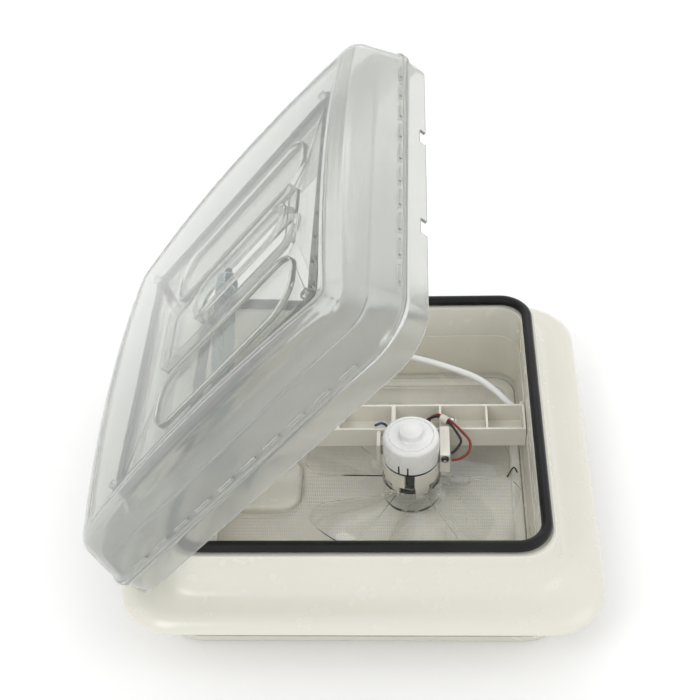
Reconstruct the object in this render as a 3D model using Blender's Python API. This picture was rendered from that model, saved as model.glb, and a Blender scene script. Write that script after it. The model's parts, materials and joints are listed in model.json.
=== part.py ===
"""Roof vent cover for a caravan: a bonded frame with a clear lid on a worm-driven lift arm, a seal,
an insect screen and a ducted fan on a cross beam. Metres, +Z up, +X from the hinge side to the free side.

Heights are counted from the underside of the ceiling trim, and plan positions from the opening's centre."""

import math

import bmesh
import bpy
from mathutils import Vector

# ---- Driving dimensions ------------------------------------------------------------------------
OPENING = 0.280  # the roof cut-out, and the seal's centre line
FLANGE = 0.370  # outer side of the roof flange
ROOF_THICKNESS = 0.040
FRAME_HEIGHT = 0.048  # roof face to the seal's centre
TRIM_DEPTH = 0.009
TRIM_SIDE = 0.315
LID_SIDE = 0.3412  # outside of the lid's skirt
LID_HEIGHT = 0.0572  # skirt's edge to the dome's shoulder, at the corners
LID_CROWN = 0.016  # how much higher the dome's middle is than its corners
LID_OPEN = math.radians(49.8)  # the stored pose
FAN_CLEARANCE = 0.0043  # between the blades' tips and the liner
SEAL_DIAMETER = 0.009
GAP = 0.0003  # between pieces that touch

# ---- Walls -------------------------------------------------------------------------------------
FRAME_WALL = 0.0026
NECK_WALL = 0.0018
LINER_WALL = 0.0022
TRIM_WALL = 0.0025
DOME_WALL = 0.0025
PAN_WALL = 0.0022
BEAM_WALL = 0.002
POD_WALL = 0.002

# ---- Levels ------------------------------------------------------------------------------------
CEILING_Z = TRIM_DEPTH
ROOF_Z = CEILING_Z + ROOF_THICKNESS
SEAL_Z = ROOF_Z + FRAME_HEIGHT
LIP_Z = SEAL_Z - 0.0034
GROOVE_Z = SEAL_Z - SEAL_DIAMETER / 2 - GAP
SEAM_Z = SEAL_Z - 0.037
NECK_END_Z = CEILING_Z + 0.013
LINER_END_Z = CEILING_Z + 0.005
SCREEN_Z = TRIM_DEPTH - 0.003

# ---- Plan half sizes ---------------------------------------------------------------------------
SEAL_HALF = OPENING / 2
NECK_OUT = SEAL_HALF - 0.001
NECK_IN = NECK_OUT - NECK_WALL
LINER_OUT = NECK_IN - GAP
LINER_IN = LINER_OUT - LINER_WALL
WALL_IN = LINER_IN + GAP
LIP_OUT = SEAL_HALF + SEAL_DIAMETER / 2 + 0.0023
LIP_IN = SEAL_HALF + SEAL_DIAMETER / 2 + 0.0004
TRIM_IN = LINER_IN - 0.0015
SCREEN_FRAME_OUT = TRIM_IN - GAP
SCREEN_FRAME_IN = SCREEN_FRAME_OUT - 0.009
SEAL_CORNER = 0.023
FLANGE_CORNER = 0.046

# ---- Lid ---------------------------------------------------------------------------------------
ARM_WIDTH = 0.014
LID_HALF = LID_SIDE / 2
LID_CORNER = 0.030
LID_SIDE_STEPS = 4
JOINT_W = 0.0193  # the welded joint of the two shells, above the skirt's edge
SHOULDER_INSET = 0.0142
WINDOW_INSET = 0.0312
LID_BASE_Z = SEAL_Z - 0.0332  # the skirt's edge when the lid is shut
HINGE_X = -LID_HALF + 0.00025
HINGE_Z = LID_BASE_Z + 0.0023
HINGE_Y = 0.095
PIN_RADIUS = 0.0015
PIN_CLEARANCE = 0.0003
KNUCKLE_RADIUS = 0.0038
LUG_OFFSET = 0.0095
LUG_WIDTH = 0.004
PLATEAU_HALF = SEAL_HALF - 0.0135
PLATEAU_W = 0.0522
TRACK_W = 0.0543  # the roller's height above the skirt's edge at the stored pose
GROOVE_W = 0.0539  # the middle of the groove that the roller wanders in
GROOVE_HALF = 0.00575
GROOVE_DEPTH = 0.005
TRACK_GAUGE = 0.002
SLOT_X = 0.0268
SLOT_HALF = 0.0503 + ARM_WIDTH / 4  # the rounded ends clear the arm's corners
SLOT_WIDTH = ARM_WIDTH + 0.014
TRACK_X = 0.0076
TRACK_HALF = 0.083
TRACK_WIDTH = 0.072

# ---- Lift --------------------------------------------------------------------------------------
ARM_X = -SEAL_HALF + 0.013
ARM_Z = SEAL_Z - 0.063
ARM_DEPTH = 0.016
ARM_GAUGE = 0.0016
ROLLER_LID_X = 0.0036  # the roller's place along the closed lid's X at the stored pose
ROLLER_RADIUS = 0.0026
AXLE_RADIUS = 0.0015
ARM_PIN_RADIUS = 0.002
WORM_X = ARM_X + 0.020
GEAR_RADIUS = 0.016
GEAR_TEETH = 40
LEAD = 2 * math.pi * GEAR_RADIUS / GEAR_TEETH

# ---- Fan ---------------------------------------------------------------------------------------
FAN_X = 0.0384
FAN_Y = -0.016
FAN_RADIUS = LINER_IN - FAN_X - FAN_CLEARANCE
FAN_TOP_Z = SEAL_Z - 0.057
FAN_DEPTH = 0.023
BLADES = 6
CAN_RADIUS = 0.0185
CAP_RADIUS = 0.0232
CUP_RADIUS = 0.0243
BEAM_FRONT = FAN_Y + CAP_RADIUS + 0.0024
BEAM_BACK = BEAM_FRONT + 0.0297
BEAM_TOP_Z = SEAL_Z - 0.030
BEAM_DEPTH = 0.020

# ---- Controls ----------------------------------------------------------------------------------
POD_X = (-SEAL_HALF + 0.0186, -SEAL_HALF + 0.0837)
POD_HALF = 0.030
POD_CORNER = 0.018
POD_TOP_Z = SEAL_Z - 0.0835
PANEL_TOP_Z = 0.0022
PANEL_Z = 0.0004
KNOB_RADIUS = 0.0115
SHAFT_RADIUS = 0.0031
BUTTON_RADIUS = 0.0045
BUTTON_X = -SEAL_HALF + 0.0665

CORNER_STEPS = 5
CORNERS = ((1, -1), (1, 1), (-1, 1), (-1, -1))

# The part's own origin is under the middle of its box, so the opening's centre lies off it by this much.
LID_REACH = (LID_HEIGHT + 0.4 * LID_CROWN) * math.sin(LID_OPEN) - SHOULDER_INSET * math.cos(LID_OPEN)
LID_BACK_X = HINGE_X - LID_REACH
OPENING_X = -(FLANGE / 2 + LID_BACK_X) / 2


# ---- Materials ---------------------------------------------------------------------------------
FINISHES = {
    "white_plastic": ((0.76, 0.74, 0.67), 0.30, 0.0, 1.0),
    "liner_plastic": ((0.62, 0.58, 0.49), 0.38, 0.0, 1.0),
    "cap_plastic": ((0.80, 0.81, 0.83), 0.35, 0.0, 1.0),
    "beam_plastic": ((0.78, 0.76, 0.70), 0.36, 0.0, 1.0),
    "clear_plastic": ((0.80, 0.84, 0.84), 0.06, 0.0, 0.35),
    "seal_rubber": ((0.012, 0.013, 0.014), 0.55, 0.0, 1.0),
    "screen_mesh": ((0.42, 0.44, 0.40), 0.6, 0.0, 1.0),
    "plated_steel": ((0.52, 0.58, 0.60), 0.32, 1.0, 1.0),
    "motor_steel": ((0.36, 0.38, 0.38), 0.35, 1.0, 1.0),
    "screw_steel": ((0.55, 0.55, 0.56), 0.30, 1.0, 1.0),
    "gear_plastic": ((0.70, 0.68, 0.60), 0.45, 0.0, 1.0),
    "circuit_board": ((0.03, 0.16, 0.07), 0.45, 0.0, 1.0),
    "button_plastic": ((0.30, 0.31, 0.32), 0.45, 0.0, 1.0),
    "lens_plastic": ((0.10, 0.55, 0.16), 0.15, 0.0, 1.0),
    "black_plastic": ((0.015, 0.015, 0.016), 0.42, 0.0, 1.0),
    "cable_white": ((0.80, 0.80, 0.79), 0.45, 0.0, 1.0),
    "lead_red": ((0.26, 0.030, 0.022), 0.42, 0.0, 1.0),
    "lead_black": ((0.018, 0.016, 0.016), 0.42, 0.0, 1.0),
    "lead_blue": ((0.03, 0.04, 0.14), 0.42, 0.0, 1.0),
    "sleeve_plastic": ((0.66, 0.62, 0.55), 0.5, 0.0, 1.0),
}


def material(finish):
    found = bpy.data.materials.get(finish)
    if found:
        return found
    colour, roughness, metallic, alpha = FINISHES[finish]
    made = bpy.data.materials.new(finish)
    made.use_nodes = True
    shader = made.node_tree.nodes["Principled BSDF"]
    shader.inputs["Base Color"].default_value = (*colour, 1.0)
    shader.inputs["Roughness"].default_value = roughness
    shader.inputs["Metallic"].default_value = metallic
    shader.inputs["Alpha"].default_value = alpha
    made.diffuse_color = (*colour, alpha)
    return made


# ---- Outlines ----------------------------------------------------------------------------------
def rounded_rect(half_x, half_y, radius, centre=(0.0, 0.0), side_steps=1):
    """Plan points of a rounded rectangle, anticlockwise, with the same count for every size."""
    radius = max(min(radius, half_x, half_y), 1e-5)
    points = []
    for number, (sx, sy) in enumerate(CORNERS):
        middle = Vector((sx * (half_x - radius), sy * (half_y - radius)))
        start = math.radians(90 * number - 90)
        for step in range(CORNER_STEPS + 1):
            angle = start + math.pi / 2 * step / CORNER_STEPS
            points.append(middle + radius * Vector((math.cos(angle), math.sin(angle))))
        nx, ny = CORNERS[(number + 1) % 4]
        following = Vector((nx * (half_x - radius), ny * (half_y - radius)))
        following += radius * Vector((math.cos(start + math.pi / 2), math.sin(start + math.pi / 2)))
        last = points[-1]
        for step in range(1, side_steps):
            points.append(last.lerp(following, step / side_steps))
    return [point + Vector(centre) for point in points]


def offset_path(path, distance):
    """The path of (r, z) points moved to the right of its direction."""
    moved = []
    for number, point in enumerate(path):
        normals = []
        for a, b in ((number - 1, number), (number, number + 1)):
            if 0 <= a and b < len(path):
                along = Vector(path[b]) - Vector(path[a])
                normals.append(Vector((along.y, -along.x)).normalized())
        mean = sum(normals, Vector((0, 0))).normalized()
        stretch = 1 / max(mean.dot(normals[0]), 0.5)
        moved.append(tuple(Vector(point) + mean * distance * stretch))
    return moved


def circle(radius, steps, centre=(0.0, 0.0), start=0.0):
    angles = [start + math.tau * step / steps for step in range(steps)]
    return [Vector(centre) + radius * Vector((math.cos(angle), math.sin(angle))) for angle in angles]


# ---- Meshes ------------------------------------------------------------------------------------
def place(name, mesh, finish, parent, location=(0, 0, 0), sharp=35):
    """A named object that wears a finish; no finish makes it a cutter or a guide."""
    made = bpy.data.objects.new(name, mesh)
    bpy.context.scene.collection.objects.link(made)
    made.parent = parent
    made.location = location
    if finish is None:
        made.hide_render = True
        made.display_type = "WIRE"
        return made
    mesh.shade_smooth()
    mesh.set_sharp_from_angle(angle=math.radians(sharp))
    mesh.materials.append(material(finish))
    return made


def mesh_of(name, points, faces):
    made = bmesh.new()
    corners = [made.verts.new(point) for point in points]
    for face in faces:
        made.faces.new([corners[i] for i in face])
    bmesh.ops.recalc_face_normals(made, faces=made.faces)
    mesh = bpy.data.meshes.new(name)
    made.to_mesh(mesh)
    made.free()
    return mesh


def bridged(rings, closed):
    """Points and faces of rings joined in turn: a closed tube of them, or a solid with a cap at each end."""
    size = len(rings[0])
    points = [point for ring in rings for point in ring]
    faces = []
    count = len(rings)
    for number in range(count if closed else count - 1):
        a, b = number * size, (number + 1) % count * size
        for i in range(size):
            j = (i + 1) % size
            faces.append((a + i, a + j, b + j, b + i))
    if not closed:
        faces.append(tuple(reversed(range(size))))
        faces.append(tuple(range((count - 1) * size, count * size)))
    return points, faces


def solid(name, rings, finish, parent, closed=False, location=(0, 0, 0), sharp=35):
    return place(name, mesh_of(name, *bridged(rings, closed)), finish, parent, location, sharp)


def at_height(outline, z):
    return [(point.x, point.y, z) for point in outline]


def prism(name, outline, low, high, finish, parent, axis="Z", location=(0, 0, 0)):
    """An outline given thickness: along Z, or along Y for an outline in X and Z."""
    rings = []
    for level in (low, high):
        rings.append([(p.x, p.y, level) if axis == "Z" else (p.x, level, p.y) for p in outline])
    return solid(name, rings, finish, parent, location=location)


def box(name, low, high, finish, parent):
    outline = [
        Vector(point)
        for point in ((low[0], low[1]), (high[0], low[1]), (high[0], high[1]), (low[0], high[1]))
    ]
    return prism(name, outline, low[2], high[2], finish, parent)


def turned(name, profile, finish, parent, location=(0, 0, 0), steps=28, axis="Z", closed=False, sharp=35):
    """A profile of (radius, height) turned about Z, X or Y; its two ends are capped unless it is closed."""
    rings = []
    for radius, height in profile:
        ring = [(p.x, p.y, height) for p in circle(radius, steps)]
        if axis == "X":
            ring = [(z, x, y) for x, y, z in ring]
        if axis == "Y":
            ring = [(y, z, x) for x, y, z in ring]
        rings.append(ring)
    return solid(name, rings, finish, parent, closed, location, sharp)


def combine(target, other, operation):
    modifier = target.modifiers.new(other.name, "BOOLEAN")
    modifier.operation = operation
    modifier.solver = "EXACT"
    modifier.object = other


def cut(target, cutter):
    combine(target, cutter, "DIFFERENCE")


def join(target, lump):
    combine(target, lump, "UNION")


def tube(name, route, radius, finish, parent, spacing):
    """A cord along a smooth curve through its route's points."""
    smooth = smooth_route([Vector(point) for point in route], spacing)
    curve = bpy.data.curves.new(name, "CURVE")
    curve.dimensions = "3D"
    curve.bevel_depth = radius
    curve.bevel_resolution = 2
    curve.use_fill_caps = True
    curve.materials.append(material(finish))
    spline = curve.splines.new("POLY")
    spline.points.add(len(smooth) - 1)
    for target, point in zip(spline.points, smooth):
        target.co = (*point, 1.0)
    made = bpy.data.objects.new(name, curve)
    bpy.context.scene.collection.objects.link(made)
    made.parent = parent
    return made


def smooth_route(route, spacing):
    """Points at an even spacing on a Catmull-Rom curve through the route."""
    ends = [2 * route[0] - route[1], *route, 2 * route[-1] - route[-2]]
    fine = [route[0]]
    for a, b, c, d in zip(ends, ends[1:], ends[2:], ends[3:]):
        for step in range(1, 25):
            t = step / 24
            bend = 2 * b + t * (c - a) + t * t * (2 * a - 5 * b + 4 * c - d) + t**3 * (3 * b - a - 3 * c + d)
            fine.append(bend / 2)
    total = sum((q - p).length for p, q in zip(fine, fine[1:]))
    count = max(4, round(total / spacing))
    picked, walked, wanted = [fine[0]], 0.0, total / count
    for p, q in zip(fine, fine[1:]):
        walked += (q - p).length
        if walked >= wanted and len(picked) < count:
            picked.append(q)
            wanted += total / count
    return picked + [fine[-1]]


def empty(name, parent, location=(0, 0, 0)):
    made = bpy.data.objects.new(name, None)
    bpy.context.scene.collection.objects.link(made)
    made.parent = parent
    made.location = location
    return made


# ---- Frame -------------------------------------------------------------------------------------
def frame_corner(half):
    """The corner radius of the frame at a distance from the centre, from the seal's out to the flange's."""
    share = (half - SEAL_HALF) / (FLANGE / 2 - SEAL_HALF)
    return SEAL_CORNER + share * (FLANGE_CORNER - SEAL_CORNER)


def frame_rings(profile):
    return [at_height(rounded_rect(half, half, frame_corner(half)), z) for half, z in profile]


def flange_skin():
    """The flange's weathered side: steep at the neck, a shallow apron under the lid's edge, a rolled rim."""
    run, fall = FLANGE / 2 - LIP_OUT, LIP_Z - ROOF_Z
    shares = (
        (0, 0),
        (0.02, 0.05),
        (0.06, 0.30),
        (0.14, 0.53),
        (0.28, 0.68),
        (0.48, 0.755),
        (0.68, 0.80),
        (0.83, 0.85),
        (0.93, 0.915),
        (0.985, 0.97),
        (1, 1),
    )
    return [(LIP_OUT + across * run, LIP_Z - down * fall) for across, down in shares]


def outer_frame(parent):
    skin = flange_skin()
    under = offset_path(skin, FRAME_WALL)
    under[-1] = (FLANGE / 2 - FRAME_WALL, ROOF_Z)
    cavity_top = GROOVE_Z - FRAME_WALL
    cavity = [point for point in under if point[1] < cavity_top - 0.004]
    flange_top = ROOF_Z + FRAME_WALL
    pad = NECK_OUT + 0.026
    profile = [
        *skin,
        *reversed(cavity),
        (cavity[0][0] - 0.0012, cavity_top),
        (NECK_OUT, cavity_top),
        (NECK_OUT, flange_top),
        (pad, flange_top),
        (pad, ROOF_Z),
        (NECK_OUT, ROOF_Z),
        (NECK_OUT, NECK_END_Z),
        (NECK_IN, NECK_END_Z),
        (NECK_IN, SEAM_Z),
        (WALL_IN, SEAM_Z),
        (WALL_IN, GROOVE_Z - 0.0016),
        (WALL_IN + 0.0012, GROOVE_Z),
        (LIP_IN, GROOVE_Z),
        (LIP_IN, LIP_Z),
    ]
    made = solid("outer_frame", frame_rings(profile), "white_plastic", parent, closed=True)
    for side in (-1, 1):
        for end in (-1, 1):
            lug = hinge_lug(f"frame_lug_{side}_{end}", side * HINGE_Y + end * LUG_OFFSET, LUG_WIDTH, parent)
            join(made, lug)
    return made


def eye_outline(reach, upward, steps=20):
    """A rounded eye round the origin whose other side runs straight on by reach."""
    outline = []
    for number in range(steps):
        angle = math.tau * number / steps
        x, z = KNUCKLE_RADIUS * math.cos(angle), KNUCKLE_RADIUS * math.sin(angle)
        if z < -1e-6:
            x = max(-KNUCKLE_RADIUS, min(KNUCKLE_RADIUS, 1.5 * x))
            z = -reach if abs(x) < 0.99 * KNUCKLE_RADIUS else -reach * 0.5
        outline.append(Vector((x, -z if upward else z)))
    return outline


def eye(name, middle, width, reach, upward, parent):
    """An eye on the hinge's axis with a hole for its pin."""
    hole = circle(PIN_RADIUS + PIN_CLEARANCE, 20)
    if upward:
        hole = [Vector((p.x, -p.y)) for p in hole]
    rings = []
    for outline, y in (
        (eye_outline(reach, upward), -1),
        (eye_outline(reach, upward), 1),
        (hole, 1),
        (hole, -1),
    ):
        rings.append([(p.x, y * width / 2, p.y) for p in outline])
    return solid(name, rings, None, parent, closed=True, location=(HINGE_X, middle, HINGE_Z))


def hinge_lug(name, middle, width, parent):
    return eye(name, middle, width, 0.0095, False, parent)


def seal(parent):
    rings = []
    for point in circle(SEAL_DIAMETER / 2, 14):
        half = SEAL_HALF + point.x
        rings.append(at_height(rounded_rect(half, half, SEAL_CORNER + point.x), SEAL_Z + point.y))
    solid("dome_seal", rings, "seal_rubber", parent, closed=True)


def liner(parent):
    profile = (
        (LINER_OUT, SEAM_Z - GAP),
        (LINER_IN, SEAM_Z - GAP),
        (LINER_IN, LINER_END_Z),
        (LINER_OUT, LINER_END_Z),
    )
    solid("inner_liner", frame_rings(profile), "liner_plastic", parent, closed=True)


def trim_ring(parent):
    out = TRIM_SIDE / 2
    collar_out = NECK_OUT
    collar_in = NECK_IN
    foot = CEILING_Z - 0.0085
    profile = (
        (out, CEILING_Z),
        (out, 0.004),
        (out - 0.0016, 0.0014),
        (out - 0.0045, 0),
        (TRIM_IN + 0.003, 0),
        (TRIM_IN, 0.0016),
        (TRIM_IN, CEILING_Z),
        (collar_in, CEILING_Z),
        (collar_in, NECK_END_Z - GAP),
        (collar_out, NECK_END_Z - GAP),
        (collar_out, foot + TRIM_WALL),
        (out - 0.004, foot + TRIM_WALL),
        (out - 0.004, CEILING_Z),
    )
    rings = []
    for half, z in profile:
        rings.append(at_height(rounded_rect(half, half, frame_corner(half)), z))
    return solid("trim_ring", rings, "white_plastic", parent, closed=True)


def screen(parent):
    profile = (
        (SCREEN_FRAME_IN, 0.003),
        (SCREEN_FRAME_OUT, 0.003),
        (SCREEN_FRAME_OUT, TRIM_DEPTH - 0.0006),
        (SCREEN_FRAME_OUT - 0.001, TRIM_DEPTH + 0.0003),
        (SCREEN_FRAME_IN + 0.0015, TRIM_DEPTH + 0.0003),
        (SCREEN_FRAME_IN, TRIM_DEPTH - 0.001),
    )
    solid("screen_frame", frame_rings(profile), "white_plastic", parent, closed=True)
    half = SCREEN_FRAME_IN - GAP
    outer = rounded_rect(half, half, frame_corner(half))
    hole = pod_outline(GAP)
    rings = [
        at_height(outer, SCREEN_Z),
        at_height(outer, SCREEN_Z + 0.0006),
        at_height(hole, SCREEN_Z + 0.0006),
        at_height(hole, SCREEN_Z),
    ]
    solid("insect_screen", rings, "screen_mesh", parent, closed=True)


# ---- Controls ----------------------------------------------------------------------------------
def pod_outline(grow):
    middle = (POD_X[0] + POD_X[1]) / 2
    half = (POD_X[1] - POD_X[0]) / 2 + grow
    return rounded_rect(half, POD_HALF + grow, POD_CORNER + grow, (middle, 0))


def pod(parent):
    inside_top = POD_TOP_Z - POD_WALL
    rings = [
        at_height(pod_outline(-POD_WALL - 0.002), inside_top),
        at_height(pod_outline(-POD_WALL), inside_top - 0.002),
        at_height(pod_outline(-POD_WALL), PANEL_TOP_Z + GAP),
        at_height(pod_outline(0), PANEL_TOP_Z + GAP),
        at_height(pod_outline(0), POD_TOP_Z - 0.0025),
        at_height(pod_outline(-0.0008), POD_TOP_Z - 0.0008),
        at_height(pod_outline(-0.0025), POD_TOP_Z),
    ]
    made = solid("control_pod", rings, "white_plastic", parent)
    cut(
        made,
        turned(
            "shaft_cutter",
            ((SHAFT_RADIUS + 0.0005, POD_TOP_Z - 0.01), (SHAFT_RADIUS + 0.0005, POD_TOP_Z + 0.01)),
            None,
            parent,
            (WORM_X, 0, 0),
            24,
        ),
    )
    return made


def buttons_at():
    return (("fan_speed_button", 0.018), ("fan_power_button", 0.0), ("fan_direction_button", -0.018))


def control_panel(parent):
    made = prism("control_panel", pod_outline(0), PANEL_Z, PANEL_TOP_Z, "white_plastic", parent)
    holes = [(WORM_X, 0, KNOB_RADIUS + 0.0004, 40), (BUTTON_X + 0.011, 0.009, 0.0016, 16)]
    holes += [(BUTTON_X, y, BUTTON_RADIUS + 0.0003, 24) for _, y in buttons_at()]
    for number, (x, y, radius, steps) in enumerate(holes):
        cut(
            made,
            turned(
                f"panel_cutter_{number}", ((radius, -0.01), (radius, 0.01)), None, parent, (x, y, 0), steps
            ),
        )


def buttons(parent):
    flange = PANEL_TOP_Z + GAP
    for name, y in buttons_at():
        profile = (
            (BUTTON_RADIUS - 0.001, PANEL_Z),
            (BUTTON_RADIUS, PANEL_Z + 0.0008),
            (BUTTON_RADIUS, flange),
            (BUTTON_RADIUS + 0.001, flange),
            (BUTTON_RADIUS + 0.001, flange + 0.0007),
            (0.0016, flange + 0.0007),
            (0.0016, flange + 0.0016),
        )
        turned(name, profile, "button_plastic", parent, (BUTTON_X, y, 0), 20)
    lens = ((0.0012, PANEL_Z), (0.0013, flange), (0.0022, flange), (0.0022, flange + 0.0012))
    turned("indicator_lens", lens, "lens_plastic", parent, (BUTTON_X + 0.011, 0.009, 0), 12)
    board_low = flange + 0.0032
    inset = POD_WALL + GAP
    board_x = (BUTTON_X - 0.019, POD_X[1] - inset)
    middle = (sum(board_x) / 2, 0)
    board = rounded_rect((board_x[1] - board_x[0]) / 2, POD_HALF - inset, POD_CORNER - inset, middle)
    prism("control_board", board, board_low, board_low + 0.0012, "circuit_board", parent)


def crank(parent):
    """The knob that a hand turns and the worm on its shaft."""
    top = POD_TOP_Z - POD_WALL - 0.0012
    radius = KNOB_RADIUS
    profile = (
        (radius - 0.0032, 0.0048),
        (radius - 0.0026, PANEL_Z),
        (radius - 0.0008, PANEL_Z),
        (radius, PANEL_Z + 0.001),
        (radius, top - 0.001),
        (radius - 0.001, top),
    )
    knob = turned("crank_knob", profile, "white_plastic", parent, steps=36)
    join(
        knob,
        box("knob_bar", (-0.0025, -radius + 0.002, PANEL_Z), (0.0025, radius - 0.002, 0.006), None, parent),
    )
    steps = 12
    low, high = top + GAP, ARM_Z + 0.0095
    thread_low, thread_high = ARM_Z - 0.0085, ARM_Z + 0.0085
    count = round((thread_high - thread_low) / LEAD * 6)
    levels = [
        low,
        *(thread_low + (thread_high - thread_low) * row / count for row in range(count + 1)),
        high,
    ]
    rings = []
    for z in levels:
        ring = []
        for step in range(steps):
            share = step / steps
            phase = ((z - ARM_Z) / LEAD - share + 0.5) % 1
            crest = max(0.0, min(1.0, (0.23 - abs(phase - 0.5)) / 0.10))
            fade = max(0.0, min(1.0, (z - thread_low) / LEAD, (thread_high - z) / LEAD))
            distance = SHAFT_RADIUS + 0.0016 * crest * fade
            ring.append((distance * math.cos(math.tau * share), distance * math.sin(math.tau * share), z))
        rings.append(ring)
    solid("crank_worm", rings, "plated_steel", parent, sharp=60)


def gear_bracket(parent):
    low = POD_TOP_Z + GAP
    x_low = ARM_X - 0.0064
    made = box(
        "gear_bracket", (x_low, -0.0135, low), (WORM_X + 0.008, 0.0135, low + 0.002), "gear_plastic", parent
    )
    inner = ARM_WIDTH / 2 + 0.0013
    for side in (-1, 1):
        near, far = sorted((side * inner, side * (inner + 0.0025)))
        outline = [
            (x_low, low + 0.001),
            (WORM_X - 0.008, low + 0.001),
            (ARM_X + 0.006, ARM_Z + 0.002),
            (ARM_X + 0.003, ARM_Z + 0.006),
        ]
        outline += [(ARM_X - 0.003, ARM_Z + 0.006), (x_low, ARM_Z + 0.002)]
        ear = prism(f"bracket_ear_{side}", [Vector(p) for p in outline], near, far, None, parent, axis="Y")
        join(made, ear)
    hole = turned(
        "arm_pin_cutter",
        ((ARM_PIN_RADIUS + GAP, -0.03), (ARM_PIN_RADIUS + GAP, 0.03)),
        None,
        parent,
        (ARM_X, 0, ARM_Z),
        20,
        "Y",
    )
    cut(made, hole)
    cut(
        made,
        turned(
            "worm_cutter",
            ((SHAFT_RADIUS + 0.0005, low - 0.005), (SHAFT_RADIUS + 0.0005, low + 0.005)),
            None,
            parent,
            (WORM_X, 0, 0),
            20,
        ),
    )
    reach = inner + 0.0025 + 0.0008
    head = ARM_PIN_RADIUS + 0.0014
    pin = (
        (ARM_PIN_RADIUS, -reach),
        (ARM_PIN_RADIUS, inner + 0.0025 + GAP),
        (head, inner + 0.0025 + GAP),
        (head, inner + 0.0025 + 0.0016),
    )
    turned("arm_pivot_pin", pin, "screw_steel", parent, (ARM_X, 0, ARM_Z), 16, "Y")


# ---- Lift arm ----------------------------------------------------------------------------------
def roller_rest():
    """The roller at the stored pose, as X and Z."""
    offset = Vector((ROLLER_LID_X - HINGE_X, LID_BASE_Z + TRACK_W - HINGE_Z))
    c, s = math.cos(LID_OPEN), math.sin(LID_OPEN)
    return Vector((HINGE_X + c * offset.x - s * offset.y, HINGE_Z + s * offset.x + c * offset.y))


def lift_arm(parent):
    roller = roller_rest() - Vector((ARM_X, ARM_Z))
    reach = roller.length
    pivot = empty("arm_pivot", parent, (ARM_X, 0, ARM_Z))
    pivot.rotation_euler.y = -math.atan2(roller.y, roller.x)
    side, deep, gauge = ARM_WIDTH / 2, ARM_DEPTH / 2, ARM_GAUGE
    stations = (
        (-0.0058, 0.3),
        (-0.004, 0.58),
        (0.0, 0.75),
        (0.025, 1),
        (reach - 0.006, 1),
        (reach, 0.94),
        (reach + 0.004, 0.78),
        (reach + 0.0072, 0.42),
    )
    rings = []
    for along, share in stations:
        d = deep * share
        web = d - gauge
        section = (
            (-d, -side),
            (-d, gauge - side),
            (web, gauge - side),
            (web, side - gauge),
            (-d, side - gauge),
            (-d, side),
            (d, side),
            (d, -side),
        )
        rings.append([(along, y, z) for z, y in section])
    arm = solid("lift_arm", rings, "plated_steel", pivot)
    for name, radius, along in (
        ("pivot_cutter", ARM_PIN_RADIUS + GAP, 0),
        ("axle_cutter", AXLE_RADIUS + GAP, reach),
    ):
        cut(arm, turned(name, ((radius, -0.02), (radius, 0.02)), None, pivot, (along, 0, 0), 16, "Y"))
    half_axle = SLOT_WIDTH / 2 + 0.0040
    turned(
        "roller_axle",
        ((AXLE_RADIUS, -half_axle), (AXLE_RADIUS, half_axle)),
        "screw_steel",
        pivot,
        (reach, 0, 0),
        14,
        "Y",
    )
    bore = AXLE_RADIUS + GAP
    track = SLOT_WIDTH / 2 + 0.0015
    for name, middle in (("roller_front", -track), ("roller_back", track)):
        profile = ((ROLLER_RADIUS, -0.0022), (ROLLER_RADIUS, 0.0022), (bore, 0.0022), (bore, -0.0022))
        turned(name, profile, "black_plastic", pivot, (reach, middle, 0), 18, "Y", closed=True)
    worm_gear(pivot)
    return reach


def worm_gear(pivot):
    """The toothed sector on the arm; its teeth lie along the worm at every pose."""
    turn = pivot.rotation_euler.y
    first, last = -2, 7
    tip, root = GEAR_RADIUS + 0.0005, GEAR_RADIUS - 0.0013
    step = math.tau / GEAR_TEETH
    outline = []
    for tooth in range(first, last + 1):
        middle = tooth * step
        for share, radius in ((-0.5, root), (-0.19, root), (-0.10, tip), (0.10, tip), (0.19, root)):
            outline.append((radius, middle + share * step))
    outline.append((root, (last + 0.5) * step))
    hub = 0.0040
    start, end = outline[-1][1] + math.radians(25), outline[0][1] - math.radians(25) + math.tau
    outline += [(hub, start + (end - start) * number / 8) for number in range(9)]
    lean = LEAD / (math.tau * 0.0039)
    rings = []
    for y in (-0.002, 0.002):
        twist = -y * lean / GEAR_RADIUS
        placed = [(r, a + twist + turn) for r, a in outline]
        rings.append([(r * math.cos(a), y, r * math.sin(a)) for r, a in placed])
    gear = solid("worm_gear", rings, "gear_plastic", pivot)
    bore = ARM_PIN_RADIUS + GAP
    cut(gear, turned("gear_cutter", ((bore, -0.02), (bore, 0.02)), None, pivot, (0, 0, 0), 16, "Y"))


# ---- Lid ---------------------------------------------------------------------------------------
def lid_corner(half):
    return max(0.008, LID_CORNER + half - LID_HALF)


def crowned(half, w):
    """A ring of the dome: its height swells from the welded joint up to the full crown at the shoulder."""
    share = max(0.0, min(1.0, (w - JOINT_W - 0.005) / (LID_HEIGHT - JOINT_W - 0.008)))
    ring = []
    for point in rounded_rect(half, half, lid_corner(half), side_steps=LID_SIDE_STEPS):
        bow = 1 - 0.5 * ((point.x / LID_HALF) ** 2 + (point.y / LID_HALF) ** 2)
        ring.append((point.x, point.y, LID_BASE_Z + w + share * LID_CROWN * (bow - 0.15) / 0.85))
    return ring


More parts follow.
